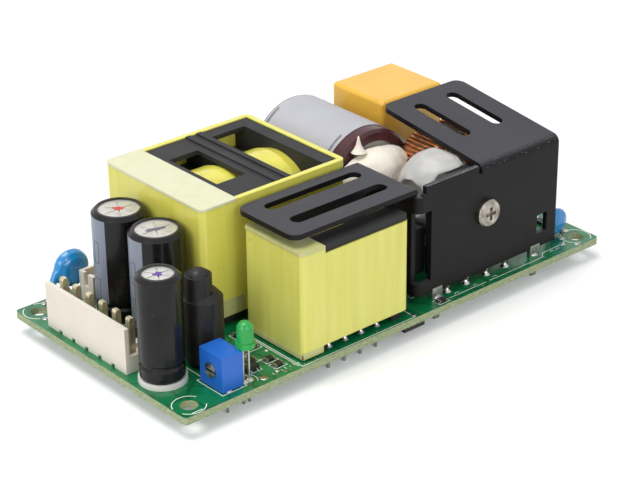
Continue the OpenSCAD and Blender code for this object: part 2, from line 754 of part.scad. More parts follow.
module small_transformer_top_tape() {
    skirt = 0.6;
    t = 0.12;
    x1 = small_left + small_cap_l - 0.1;
    z1 = small_top + 0.04;
    color([0.9, 0.9, 0.7]) difference() {
        round_block([small_left - t, small_front - t, z1 - skirt], [x1 + 4, small_rear + t, z1], 1);
        round_block([small_left - 0.01, small_front - 0.01, z1 - skirt - 1],
            [x1 + 6, small_rear + 0.01, z1 - t], 0.91);
        span([x1, small_front - 2, z1 - skirt - 1], [x1 + 6, small_rear + 2, z1 + 1]);
    }
}

module small_transformer_pins() {
    color([0.78, 0.78, 0.76]) for (p = SMALL_PINS) lead(p, small_rail_z - top + small_rail_h - 0.1);
}

// ---------- heatsink: one folded sheet ----------

// Quarter turn of the sheet, standing on the XY plane
module fold(angle, h) {
    rotate_extrude(angle = angle, $fn = 48) translate([sink_fold_r, 0]) square([sink_t, h]);
}

// Flat plate with round corners at its far end, from y0 along +Y to l
module flange_plate(x0, x1, y0, l, t) {
    r = flange_corner_r;
    span([x0, y0, 0], [x1, l - r, t]);
    span([x0 + r, y0, 0], [x1 - r, l, t]);
    for (x = [x0 + r, x1 - r]) translate([x, l - r, 0]) cylinder(h = t, r = r, $fn = 40);
}

// Side view of a wall's top folded over to a flange that opens by tilt; the fold's centre is the origin
module folded_profile(tilt, l) {
    turn = 90 - tilt;
    angles = [for (i = [0:fold_steps]) 180 - turn * i / fold_steps];
    along = l * [cos(tilt), sin(tilt)];
    outer = [for (a = angles) fold_o * [cos(a), sin(a)]];
    inner = [for (i = [0:fold_steps]) sink_fold_r * [cos(angles[fold_steps - i]), sin(angles[fold_steps - i])]];
    polygon(concat(outer, [outer[fold_steps] + along, inner[0] + along], inner));
}

// Flange over the small transformer: flat, from the fold's centre line along +Y
module flange_sheet(x0, x1, l) {
    translate([0, 0, sink_fold_r]) flange_plate(x0, x1, 0, l, sink_t);
}

// Slot with round ends along +Y, cut through the sheet
module flange_slot(x, y0, y1) {
    translate([0, 0, sink_fold_r - 1]) {
        span([x - slot_w / 2, y0 + slot_w / 2, 0], [x + slot_w / 2, y1 - slot_w / 2, sink_t + 2]);
        for (y = [y0 + slot_w / 2, y1 - slot_w / 2])
            translate([x, y, 0]) cylinder(h = sink_t + 2, d = slot_w, $fn = 32);
    }
}

module heatsink() {
    side_len = sink_wall_rear - sink_front;
    color([0.14, 0.14, 0.15]) difference() {
        union() {
            // Front wall, plain up to its sheared top edge, then folded back as the rear flange
            span([sink_left + fold_o, sink_front, sink_bottom], [rear_flange_left, wall_inner_y, plain_top]);
            span([rear_flange_left - eps, sink_front, sink_bottom], [sink_right, wall_inner_y, fold_z]);
            // Upright fold at the left corner
            translate([sink_left + fold_o, sink_front + fold_o, sink_bottom]) rotate([0, 0, 180])
                fold(90, fold_z - sink_bottom - 0.4);
            // Side wall
            span([sink_left, sink_front + fold_o, sink_bottom], [wall_inner_x, sink_wall_rear, fold_z]);
            // Fold and flange over the small transformer
            translate([sink_left - sink_fold_r, sink_wall_rear, fold_z]) rotate([90, 0, 0])
                fold(90, side_len - 0.3);
            translate([sink_left - sink_fold_r, sink_wall_rear, fold_z]) rotate([0, 0, 90])
                flange_sheet(-side_len + 0.3, 0, flange_reach);
            // Fold and flange over the choke
            translate([0, wall_inner_y + sink_fold_r, fold_z]) intersection() {
                translate([rear_flange_left - 1, 0, 0]) rotate([90, 0, 90])
                    linear_extrude(sink_right - rear_flange_left + 2)
                        folded_profile(rear_flange_tilt, rear_flange_l + 1);
                rotate([rear_flange_tilt, 0, 0]) translate([0, 0, -fold_o])
                    flange_plate(rear_flange_left, sink_right, -2 * fold_o, rear_flange_l, 3 * fold_o);
            }
        }
        // Tall relief cut through the left corner
        span([sink_left - 1, sink_front - 1, relief_z[0]],
            [sink_left + relief_reach, sink_front + fold_o, relief_z[1]]);
        // Notch beside the corner, and slit beside the rear flange
        span([sink_left, sink_front - 1, plain_top - 1.6], [wall_inner_x + 1.1, wall_inner_y + eps, sink_top + 1]);
        span([rear_flange_left - slit_w, sink_front - 1, plain_top - slit_h],
            [rear_flange_left, wall_inner_y + 2, sink_top + 1]);
        // Slots of the flange over the small transformer
        for (s = [-1, 1]) translate([sink_left - sink_fold_r, transistor_y + s * flange_slot_shift, fold_z]) rotate([0, 0, 90])
            flange_slot(0, 2.4, flange_reach - 3.8);
        // Slots of the flange over the choke
        for (x = rear_slot_x)
            translate([x, wall_inner_y + sink_fold_r, fold_z]) rotate([rear_flange_tilt, 0, 0])
                flange_slot(0, rear_flange_l - 17.7, rear_flange_l - 3.4);
        // Screw holes and the plain window
        translate([bridge_x, sink_front - 1, bridge_screw_z]) rotate([-90, 0, 0])
            cylinder(h = sink_t + 2, d = screw_d + 0.2);
        translate([sink_left - 1, transistor_y, transistor_hole_z]) rotate([0, 90, 0])
            cylinder(h = sink_t + 2, d = screw_d + 0.2);
        span([sink_right - 5.2, sink_front - 1, top + 4.5], [sink_right - 2.5, wall_inner_y + 1, top + 8.4]);
        // Notches for the feet
        for (x = foot_x) span([x - foot_w / 2 - touch, sink_front - 1, sink_bottom - 1],
            [x + foot_w / 2 + touch, wall_inner_y + 1, sink_bottom + foot_notch_h + touch]);
    }
}

module heatsink_feet() {
    color([0.8, 0.8, 0.8]) for (x = foot_x) {
        span([x - foot_w / 2, sink_front + 0.1, top], [x + foot_w / 2, wall_inner_y - 0.1, sink_bottom + foot_notch_h]);
        span([x - 0.6, foot_y - foot_t / 2, -tail_len], [x + 0.6, foot_y + foot_t / 2, top + eps]);
    }
}

// Screw along +Y with a flat pan head and a cross recess
module clamp_screw(len) {
    head_h = 1.2;
    difference() {
        union() {
            rotate([90, 0, 0]) rotate_extrude($fn = 48) polygon([
                [0, 0], [screw_head_d / 2, 0], [screw_head_d / 2, head_h * 0.6],
                [screw_head_d / 2 - 0.3, head_h * 0.9], [screw_head_d / 2 - 0.8, head_h], [0, head_h]]);
            rotate([-90, 0, 0]) cylinder(h = len, d = screw_d);
        }
        for (a = [0, 90]) rotate([0, a, 0]) span([-1.3, -head_h - 1, -0.35], [1.3, -head_h + 0.7, 0.35]);
    }
}

nut_h = 2.4;
nut_y = bridge_y0 + bridge_t + touch;

module heatsink_screw() {
    color([0.8, 0.8, 0.82]) translate([bridge_x, sink_front - touch, bridge_screw_z])
        clamp_screw(nut_y + nut_h - sink_front);
}

module heatsink_nut() {
    color([0.75, 0.75, 0.77]) translate([bridge_x, nut_y, bridge_screw_z]) rotate([-90, 0, 0]) difference() {
        cylinder(h = nut_h, d = screw_d * 2.1, $fn = 6);
        translate([0, 0, -1]) cylinder(h = nut_h + 2, d = screw_d + 2 * touch);
    }
}

// ---------- bridge rectifier and transistor ----------

module bridge_rectifier() {
    x0 = bridge_x - bridge_w / 2;
    color([0.1, 0.1, 0.1]) difference() {
        translate([0, bridge_y0 + bridge_t, 0]) rotate([90, 0, 0]) linear_extrude(bridge_t) polygon([
            [x0, bridge_z], [x0 + bridge_w, bridge_z], [x0 + bridge_w, bridge_z + bridge_h],
            [x0 + 3, bridge_z + bridge_h], [x0, bridge_z + bridge_h - 3]]);
        translate([bridge_x, bridge_y0 - 1, bridge_screw_z]) rotate([-90, 0, 0])
            cylinder(h = bridge_t + 2, d = screw_d + 0.3);
        for (p = BRIDGE_LEADS) translate([p[0], p[1], bridge_z - 1])
            cylinder(h = 3, d = bridge_lead_d + 2 * touch, $fn = 20);
    }
}

module bridge_leads() {
    color([0.78, 0.78, 0.76]) for (p = BRIDGE_LEADS) lead(p, bridge_z - top + 1.8);
}

module power_transistor() {
    y0 = transistor_y - transistor_w / 2;
    x0 = transistor_x0 + transistor_tab_t + touch;
    x1 = transistor_x0 + transistor_t;
    color([0.1, 0.1, 0.1]) difference() {
        translate([0, y0 + transistor_w, transistor_z]) rotate([90, 0, 0]) linear_extrude(transistor_w) polygon([
            [x0, 0], [x1 - 0.3, 0], [x1, 0.6], [x1, transistor_body_h - 0.8],
            [x1 - 0.5, transistor_body_h], [x0, transistor_body_h]]);
        for (p = TRANSISTOR_LEADS) translate([p[0], p[1], transistor_z - 1])
            cylinder(h = 3, d = p[2] + 2 * touch, $fn = 20);
    }
}

module transistor_tab() {
    y0 = transistor_y - transistor_w / 2;
    color([0.75, 0.75, 0.77]) {
        difference() {
            span([transistor_x0, y0, transistor_z], [transistor_x0 + transistor_tab_t, y0 + transistor_w,
                transistor_z + transistor_tab_h]);
            translate([transistor_x0 - 1, transistor_y, transistor_hole_z]) rotate([0, 90, 0])
                cylinder(h = transistor_tab_t + 2, d = screw_d + 0.3);
        }
        for (p = TRANSISTOR_LEADS) lead(p, transistor_z - top + 1.8);
    }
}

module transistor_screw() {
    nut_x = transistor_x0 + transistor_tab_t + touch;
    head_h = 1.8;
    color([0.75, 0.75, 0.77]) translate([0, transistor_y, transistor_hole_z]) rotate([0, 90, 0]) {
        translate([0, 0, sink_left - touch - head_h]) cylinder(h = head_h, d = screw_head_d);
        translate([0, 0, sink_left - touch - eps]) cylinder(h = nut_x + nut_h - sink_left, d = screw_d);
        translate([0, 0, nut_x]) cylinder(h = nut_h, d = screw_d * 2, $fn = 6);
    }
}

// ---------- bulk capacitor and mains filter capacitor ----------

module bulk_capacitor_can() {
    r = bulk_d / 2 - sleeve_t - touch;
    color([0.7, 0.7, 0.72]) translate([bulk_x, bulk_front + 0.3, bulk_z]) rotate([-90, 0, 0]) difference() {
        rotate_extrude($fn = 96) polygon([
            [0, 0.5], [r - 2.2, 0.5], [r - 1.8, 0], [r - 0.6, 0], [r, 0.6], [r, 2.4], [r - 0.5, 2.8],
            [r - 0.5, 3.2], [r, 3.6], [r, bulk_l - 1.6], [r - 0.8, bulk_l - 0.6], [0, bulk_l - 0.6]]);
        for (s = [-1, 1]) translate([-1, s * bulk_lead_pitch / 2, -1])
            cylinder(h = 3, d = bulk_lead_d + 2 * touch, $fn = 20);
    }
}

module bulk_capacitor_sleeve() {
    r = bulk_d / 2;
    t = sleeve_t;
    color([0.3, 0.15, 0.16]) translate([bulk_x, bulk_front, bulk_z]) rotate([-90, 0, 0])
        rotate_extrude($fn = 96) polygon([
            [r - 2.2, 0], [r - 0.6, 0], [r, 0.6], [r, bulk_l - 1], [r - 1, bulk_l], [r - 2.6, bulk_l],
            [r - 2.6, bulk_l - t], [r - 1 - t / 2, bulk_l - t], [r - t, bulk_l - 1 - t / 2],
            [r - t, 0.6 + t / 2], [r - 0.6 - t / 2, t], [r - 2.2, t]]);
}

module bulk_capacitor_label() {
    r = bulk_d / 2 + touch;
    color([0.86, 0.86, 0.88]) translate([bulk_x, bulk_front + 2.9, bulk_z]) rotate([-90, 0, 0]) rotate([0, 0, 110])
        rotate_extrude(angle = 320, $fn = 96) translate([r, 0]) square([label_t, bulk_l - 4.2]);
}

// Leads leave the end face one above the other and bend down to the board
module bulk_leads_shape(extra) {
    d = bulk_lead_d + extra;
    for (i = [0, 1]) {
        p = BULK_LEADS[i];
        z = bulk_lead_z(i);
        lead(p, z - top, d);
        translate([p[0], p[1], z]) sphere(d = d, $fn = 20);
        translate([p[0], p[1], z]) rotate([-90, 0, 0]) cylinder(h = bulk_front - p[1] + 1.2, d = d, $fn = 20);
    }
}

module bulk_capacitor_leads() {
    color([0.78, 0.78, 0.76]) bulk_leads_shape(0);
}

module film_capacitor() {
    z0 = top + 0.1;
    color([0.96, 0.74, 0.2]) difference() {
        pillow_block([film_x - film_l / 2, film_y - film_w / 2, z0],
            [film_x + film_l / 2, film_y + film_w / 2, z0 + film_h], 0.9);
        for (p = FILM_LEADS) translate([p[0], p[1], z0 - 1])
            cylinder(h = 3, d = film_lead_d + 2 * touch, $fn = 20);
    }
}

module film_capacitor_leads() {
    color([0.78, 0.78, 0.76]) for (p = FILM_LEADS) lead(p, 1.8);
}

// ---------- common mode choke ----------

module choke_ring(r0, r1, w) {
    translate([choke_x, choke_y, choke_z]) rotate([90, 0, 0]) difference() {
        cylinder(h = w, r = r1, center = true, $fn = 96);
        cylinder(h = w + 2, r = r0, center = true, $fn = 96);
    }
}

module choke_core() {
    color([0.2, 0.35, 0.22]) choke_ring(bore_r, ring_r, ring_w);
}

wire_sides = 6;
path_n = 12;

// Point on the wire's centre line: u counts turns, a is the start angle round the ring.
// Odd turns lie in a second layer inside the bore.
function wire_point(u, a) =
    let (k = floor(u), s = (u - k) * 4, ang = a + wind_span * (u + 0.5) / turns,
        gap = wind_gap + wire_d / 2, deep = (k % 2) * wire_d * 1.08,
        outer = ring_r + gap, inner = bore_r - gap - deep, half = ring_w / 2 + gap,
        leg = floor(s), f = s - leg,
        r = leg == 0 ? outer : leg == 1 ? outer + (inner - outer) * f
            : leg == 2 ? inner : inner + (outer - inner) * f,
        y = leg == 0 ? -half + 2 * half * f : leg == 1 ? half
            : leg == 2 ? half - 2 * half * f : -half)
    [choke_x + r * cos(ang), choke_y + y, choke_z + r * sin(ang)];

function unit(v) = v / norm(v);

module winding(a) {
    n = turns * path_n;
    pts = [for (i = [0:n]) wire_point(i / path_n, a)];
    dirs = [for (i = [0:n]) unit(pts[min(i + 1, n)] - pts[max(i - 1, 0)])];
    // The frame's first side points along the ring, which never lines up with the wire
    rings = [for (i = [0:n]) let (
        q = atan2(pts[i][2] - choke_z, pts[i][0] - choke_x),
        t = [-sin(q), 0, cos(q)], e1 = unit(t - (t * dirs[i]) * dirs[i]), e2 = cross(dirs[i], e1))
        for (k = [0:wire_sides - 1]) let (w = k * 360 / wire_sides)
            pts[i] + (e1 * cos(w) + e2 * sin(w)) * wire_d / 2];
    faces = concat(
        [[for (k = [0:wire_sides - 1]) k]],
        [[for (k = [wire_sides - 1:-1:0]) n * wire_sides + k]],
        [for (i = [0:n - 1]) for (k = [0:wire_sides - 1]) let (m = (k + 1) % wire_sides)
            [i * wire_sides + k, (i + 1) * wire_sides + k, (i + 1) * wire_sides + m, i * wire_sides + m]]);
    polyhedron(rings, faces, convexity = 10);
}

module choke_winding_left() {
    color([0.72, 0.4, 0.2]) winding(180 - wind_span / 2);
}

module choke_winding_right() {
    color([0.72, 0.4, 0.2]) winding(-wind_span / 2);
}

module choke_divider() {
    w = choke_half_w;
    color([0.85, 0.9, 0.85]) {
        span([choke_x - 0.5, choke_y - w + 0.6, choke_z - bore_r + 0.2], [choke_x + 0.5, choke_y + w - 0.6, choke_z + bore_r - 0.2]);
        difference() {
            span([choke_x - 6, choke_y - w + 0.2, top], [choke_x + 6, choke_y + w - 0.2, choke_z - choke_r + 1.6]);
            translate([choke_x, choke_y, choke_z]) rotate([90, 0, 0])
                cylinder(h = 30, r = choke_r + 0.1, center = true, $fn = 96);
        }
    }
}

module choke_leads() {
    color([0.72, 0.4, 0.2]) for (p = CHOKE_LEADS) lead(p, 3.1);
}

// ---------- output capacitors ----------

groove = 0.4;

// Revolved can with a crimp groove and a vented top
module can(x, y, d, h, base) {
    r = d / 2 - sleeve_t - touch;
    z1 = h - base - 0.3;
    color([0.78, 0.79, 0.8]) translate([x, y, top + base]) difference() {
        rotate_extrude($fn = 64) polygon([
            [0, 0.4], [r - 0.8, 0.4], [r - 0.5, 0], [r - 0.2, 0], [r, 0.4], [r, 2], [r - groove, 2.4],
            [r - groove, 2.8], [r, 3.2], [r, z1 - 0.6], [r - 0.6, z1], [0, z1]]);
        for (a = [0, 60, 120]) rotate([0, 0, a])
            span([-r * 0.6, -0.12, z1 - 0.2], [r * 0.6, 0.12, z1 + 1]);
    }
}

// Shrink sleeve that follows the can and folds over its top edge
module can_sleeve(x, y, d, h, base) {
    r = d / 2;
    t = sleeve_t;
    z1 = h - base;
    color([0.13, 0.13, 0.13]) translate([x, y, top + base]) rotate_extrude($fn = 64) polygon([
        [r - 0.5, -0.2], [r - 0.2, -0.2], [r, 0.2], [r, 2], [r - groove, 2.4], [r - groove, 2.8], [r, 3.2],
        [r, z1 - 0.7], [r - 0.7, z1], [r - 1.2, z1], [r - 1.2, z1 - t], [r - 0.7 - t / 2, z1 - t],
        [r - t, z1 - 0.7 - t / 2], [r - t, 3.2], [r - groove - t, 2.8], [r - groove - t, 2.4], [r - t, 2],
        [r - t, 0.3], [r - 0.3, -0.05], [r - 0.5, -0.05]]);
}

module output_capacitor_cans() {
    for (y = output_cap_y) can(output_cap_x, y, output_cap_d, output_cap_h, 0.5);
}

module output_capacitor_sleeves() {
    for (y = output_cap_y) can_sleeve(output_cap_x, y, output_cap_d, output_cap_h, 0.5);
}

module small_capacitor_can() {
    can(small_cap_x, small_cap_y, small_cap_d, small_cap_h, 1.2);
}

module small_capacitor_sleeve() {
    can_sleeve(small_cap_x, small_cap_y, small_cap_d, small_cap_h, 1.2);
}

// Rubber seal under an output capacitor, or the white stand-off ring under the small one
module seal(x, y, d, h, pitch, lead_d) {
    translate([x, y, top]) difference() {
        cylinder(h = h, d = d);
        for (s = [-1, 1]) translate([0, s * pitch / 2, -1]) cylinder(h = h + 2, d = lead_d + 2 * touch, $fn = 20);
    }
}

module capacitor_seals() {
    color([0.85, 0.85, 0.82]) {
        for (y = output_cap_y) seal(output_cap_x, y, output_cap_d - 2.4, 0.86, cap_lead_pitch, cap_lead_d);
        seal(small_cap_x, small_cap_y, small_cap_d + 0.6, 0.95, small_cap_lead_pitch, cap_lead_d);
    }
}

module capacitor_leads() {
    color([0.78, 0.78, 0.76]) {
        for (p = OUTPUT_CAP_LEADS) lead(p, 0.8);
        for (p = SMALL_CAP_LEADS) lead(p, 0.9);
    }
}

// ---------- rod choke, trimmer, lamp ----------

module rod_choke() {
    z0 = top + 0.2;
    x1 = rod_x - rod_cap_shift;
    color([0.1, 0.1, 0.1]) difference() {
        union() {
            translate([rod_x, rod_y, z0]) rotate_extrude($fn = 48) polygon([
                [0, 0], [rod_d / 2 - 0.6, 0], [rod_d / 2, 0.8], [rod_d / 2, rod_h - 1.2],
                [rod_d / 2 - 1, rod_h], [0, rod_h]]);
            translate([x1, rod_y, z0 + 1]) cylinder(h = rod_cap_h - 1 - rod_cap_d / 4, d = rod_cap_d, $fn = 40);
            translate([x1, rod_y, z0 + rod_cap_h - rod_cap_d / 4]) scale(1)
                rotate_extrude($fn = 40) intersection() {
                    translate([0, -rod_cap_d / 4]) circle(r = rod_cap_d / 2, $fn = 48);
                    square([rod_cap_d, rod_cap_d]);
                }
        }
        for (p = ROD_LEADS) translate([p[0], p[1], z0 - 1]) cylinder(h = 2.6, d = p[2] + 2 * touch, $fn = 20);
    }
}

module rod_choke_leads() {
    color([0.78, 0.78, 0.76]) for (p = ROD_LEADS) lead(p, 1.7);
}

module trimmer_body() {
    y0 = trimmer_y - trimmer_w / 2;
    color([0.17, 0.4, 0.82]) difference() {
        round_block([trimmer_x0, y0, trimmer_z0], [trimmer_x0 + trimmer_l, y0 + trimmer_w, trimmer_z0 + trimmer_h], 0.25);
        translate([trimmer_x0 - 1, trimmer_y, rotor_z]) rotate([0, 90, 0])
            cylinder(h = rotor_len + 1 + 0.1, r = rotor_d / 2 + rotor_clearance);
        translate([trimmer_x0, trimmer_y, rotor_z]) rotate([0, 90, 0])
            cylinder(h = rotor_len + rotor_shaft_l + 0.2, r = rotor_shaft_d / 2 + rotor_clearance);
        for (p = TRIMMER_LEADS) translate([p[0], p[1], trimmer_z0 - 1]) cylinder(h = 1.8, d = p[2] + 2 * touch, $fn = 20);
    }
}

module trimmer_rotor() {
    color([0.85, 0.85, 0.87]) difference() {
        union() {
            translate([trimmer_x0 - rotor_proud, trimmer_y, rotor_z]) rotate([0, 90, 0])
                cylinder(h = rotor_len + rotor_proud, d = rotor_d);
            translate([trimmer_x0, trimmer_y, rotor_z]) rotate([0, 90, 0])
                cylinder(h = rotor_len + rotor_shaft_l, d = rotor_shaft_d);
        }
        span([trimmer_x0 - 1, trimmer_y - rotor_d, rotor_z - 0.25],
            [trimmer_x0 - rotor_proud + 0.6, trimmer_y + rotor_d, rotor_z + 0.25]);
    }
}

module trimmer_leads() {
    color([0.78, 0.78, 0.76]) for (p = TRIMMER_LEADS) lead(p, 0.8);
}

module lamp_lens() {
    r = lamp_d / 2;
    color([0.2, 0.7, 0.35]) translate([lamp_x, lamp_y, lamp_z]) difference() {
        union() {
            cylinder(h = 1, d = lamp_flange_d);
            cylinder(h = lamp_body_h, d = lamp_d);
            translate([0, 0, lamp_body_h]) sphere(r = r);
        }
        for (s = [-1, 1]) translate([s * lamp_pitch / 2, 0, -1]) cylinder(h = 2.2, d = 0.5 + 2 * touch, $fn = 20);
        translate([r + 0.05, -3, -1]) cube([2, 6, 2.1]);
    }
}

module lamp_leads() {
    color([0.78, 0.78, 0.76]) for (p = LAMP_LEADS) lead(p, lamp_z - top + 1.1);
}

// ---------- disc capacitors and fuses ----------

// Disc capacitor c, facing across the board
module disc_body(c) {
    r = c[3] / 2;
    t = c[4];
    translate([c[0], c[1], c[2]]) rotate([90, 0, 0]) rotate_extrude($fn = 48) polygon([
        [0, -t / 2], [r - 1.6, -t / 2 + 0.1], [r - 0.4, -t / 4], [r, 0], [r - 0.4, t / 4],
        [r - 1.6, t / 2 - 0.1], [0, t / 2]]);
}

// Where each leg enters its disc, as [disc, offset from the disc's centre]
DISC_TIES = [[0, [-3.2, 0, 0.2]], [0, [-1.6, -1.2, -1.8]], [1, [-1.5, 0, -1]], [1, [1.5, 0, -1]]];

function disc_centre(i) = [DISCS[i][0], DISCS[i][1], DISCS[i][2]];

module disc_legs(extra) {
    for (i = [0:3]) {
        foot = DISC_LEADS[i];
        knee = [foot[0], foot[1], top + 0.8];
        tie = disc_centre(DISC_TIES[i][0]) + DISC_TIES[i][1];
        d = foot[2] + extra;
        lead(foot, 0.8, d);
        translate(knee) sphere(d = d * 1.06, $fn = 20);
        rod(knee, tie, d);
    }
}

module disc_capacitors() {
    knee = [DISC_LEADS[0][0], DISC_LEADS[0][1], top + 0.8];
    tie = disc_centre(0) + DISC_TIES[0][1];
    color([0.16, 0.52, 0.8]) difference() {
        union() {
            disc_body(DISCS[0]);
            disc_body(DISCS[1]);
            rod(knee + (tie - knee) * 0.35, tie, 1.5);
        }
        disc_legs(2 * touch);
    }
}

module disc_capacitor_leads() {
    color([0.78, 0.78, 0.76]) disc_legs(0);
}

module fuses() {
    color([0.2, 0.16, 0.14]) {
        for (y = fuse_y) round_block([fuse_x - fuse_l / 2, y - fuse_w / 2, top + 0.1],
            [fuse_x + fuse_l / 2, y + fuse_w / 2, top + 0.1 + fuse_h], 0.5);
        for (p = FUSE_LEADS) lead(p, 0.2);
    }
}

// ---------- silicone ----------

module bulk_silicone() {
    r = bulk_d / 2 - 0.6;
    color([0.94, 0.92, 0.87]) difference() {
        translate([bulk_x, bulk_front - touch, bulk_z]) rotate([90, 0, 0]) rotate_extrude($fn = 64) polygon([
            [0, 0], [r - 0.8, 0], [r, 0.8], [r - 0.2, 2.4], [r - 1.2, 4.2], [r - 3.2, 5.7], [r - 6, 6.6], [0, 6.9]]);
        translate([choke_x, choke_y, choke_z]) rotate([90, 0, 0])
            cylinder(h = 2 * choke_half_w + 0.2, r = choke_r + 0.1, center = true, $fn = 96);
        bulk_leads_shape(2 * touch);
    }
}

module corner_silicone() {
    color([0.88, 0.87, 0.84]) difference() {
        translate([blob_x, transistor_y, top + 12]) rotate_extrude($fn = 64) polygon([
            [0, 0], [blob_r - 1.2, 0], [blob_r - 0.2, 2.2], [blob_r, 5.4], [blob_r - 0.6, 8.2],
            [blob_r - 2, 10.4], [blob_r - 4, 11.7], [0, 12]]);
        span([bridge_x - bridge_w / 2 - touch, sink_front, 0],
            [sink_right, bridge_y0 + bridge_t + touch, bridge_z + bridge_h + touch]);
        span([sink_left, sink_front, 0], [sink_right, wall_inner_y + touch, sink_top + 9]);
        span([rear_flange_left - slit_w, sink_front, fold_z - touch], [sink_right, 0, sink_top + 9]);
        translate([choke_x, choke_y, choke_z]) rotate([90, 0, 0])
            cylinder(h = 2 * choke_half_w + 0.2, r = choke_r + 0.1, center = true, $fn = 96);
        span([0, -30, 0], [transistor_x0 + transistor_t + touch, 0, transistor_z + transistor_tab_h + 1]);
        translate([0, transistor_y, transistor_hole_z]) rotate([0, 90, 0])
            cylinder(h = transistor_x0 + transistor_t + 1.8, d = screw_d * 2 + 1);
        translate([bridge_x, nut_y - 1, bridge_screw_z]) rotate([-90, 0, 0]) cylinder(h = nut_h + 2, d = 7);
    }
}

// ---------- what is drawn ----------

circuit_board();
solder_joints();
surface_parts_top();
surface_parts_bottom();
output_header();
output_pins();
fan_header();
fan_pins();
input_header();
input_pins();
large_transformer_core();
large_transformer_bobbin();
large_transformer_coil();
large_transformer_tape();
large_transformer_top_tape();
large_transformer_pins();
small_transformer_core();
small_transformer_bobbin();
small_transformer_coil();
small_transformer_tape();
small_transformer_top_tape();
small_transformer_pins();
heatsink();
heatsink_screw();
heatsink_nut();
heatsink_feet();
bridge_rectifier();
bridge_leads();
power_transistor();
transistor_tab();
transistor_screw();
bulk_capacitor_can();
bulk_capacitor_sleeve();
bulk_capacitor_label();
bulk_capacitor_leads();
film_capacitor();
film_capacitor_leads();
choke_core();
choke_winding_left();
choke_winding_right();
choke_divider();
choke_leads();
output_capacitor_cans();
output_capacitor_sleeves();
small_capacitor_can();
small_capacitor_sleeve();
capacitor_seals();
capacitor_leads();
rod_choke();
rod_choke_leads();
trimmer_body();
trimmer_rotor();
trimmer_leads();
lamp_lens();
lamp_leads();
disc_capacitors();
disc_capacitor_leads();
bulk_silicone();
corner_silicone();
fuses();
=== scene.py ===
"""Looks of an open frame power supply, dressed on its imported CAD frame.

Places and sizes are in millimetres; MM turns them into metres.
"""
import math
import random

import bpy
import bmesh
import numpy as np
from mathutils import Matrix, Vector, noise


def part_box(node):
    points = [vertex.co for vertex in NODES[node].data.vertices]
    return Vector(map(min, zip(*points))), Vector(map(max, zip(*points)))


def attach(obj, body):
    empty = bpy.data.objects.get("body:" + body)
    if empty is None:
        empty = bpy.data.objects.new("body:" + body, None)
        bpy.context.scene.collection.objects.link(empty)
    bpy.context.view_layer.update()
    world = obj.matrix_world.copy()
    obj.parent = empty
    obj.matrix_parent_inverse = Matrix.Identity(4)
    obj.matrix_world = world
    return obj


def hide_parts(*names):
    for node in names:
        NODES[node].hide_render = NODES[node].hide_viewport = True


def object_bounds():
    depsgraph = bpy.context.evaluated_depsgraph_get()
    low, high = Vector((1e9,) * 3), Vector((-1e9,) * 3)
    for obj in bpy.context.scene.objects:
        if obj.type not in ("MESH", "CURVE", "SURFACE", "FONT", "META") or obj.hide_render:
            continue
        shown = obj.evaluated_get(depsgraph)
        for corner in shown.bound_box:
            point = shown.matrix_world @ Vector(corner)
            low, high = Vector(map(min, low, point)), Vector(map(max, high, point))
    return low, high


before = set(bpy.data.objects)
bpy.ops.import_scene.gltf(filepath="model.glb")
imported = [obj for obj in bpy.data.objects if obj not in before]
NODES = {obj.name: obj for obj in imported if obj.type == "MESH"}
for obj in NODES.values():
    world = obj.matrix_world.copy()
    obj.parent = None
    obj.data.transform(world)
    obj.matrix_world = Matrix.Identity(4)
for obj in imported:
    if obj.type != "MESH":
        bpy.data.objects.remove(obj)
cad_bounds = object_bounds()
MM = 0.001
rng = random.Random(7)


# ---------- places that come from the frame ----------

def span_of(node):
    """Low and high corner of a CAD node in millimetres."""
    low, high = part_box(node)
    return np.array(low) / MM, np.array(high) / MM


def islands(node):
    """Low and high corner, in millimetres, of each separate solid of a CAD node, from left to right."""
    mesh = NODES[node].data
    co = np.array([v.co for v in mesh.vertices]) / MM
    keys = {}
    weld = [keys.setdefault(tuple(np.round(p, 3)), len(keys)) for p in co]
    parent = list(range(len(keys)))

    def root(i):
        while parent[i] != i:
            parent[i] = parent[parent[i]]
            i = parent[i]
        return i

    for poly in mesh.polygons:
        ids = [root(weld[v]) for v in poly.vertices]
        for i in ids[1:]:
            parent[root(i)] = root(ids[0])
    groups = {}
    for i, p in zip(weld, co):
        groups.setdefault(root(i), []).append(p)
    boxes = [(np.min(g, axis=0), np.max(g, axis=0)) for g in groups.values()]
    return sorted(boxes, key=lambda b: (round(b[0][0], 2), round(b[0][1], 2)))


BOARD_TOP = span_of("circuit_board")[1][2]


# ---------- node materials ----------

def linear(r, g, b):
    """Linear colour of an 8 bit display colour."""
    return tuple(((c / 255 + 0.055) / 1.055) ** 2.4 if c > 10 else c / 3294.6 for c in (r, g, b)) + (1,)


def tinted(colour, factor, lift=0.0):
    """A linear colour made lighter or darker, its parts kept at 1 or less."""
    return tuple(min(1, c * factor + lift) for c in colour[:3]) + (1,)


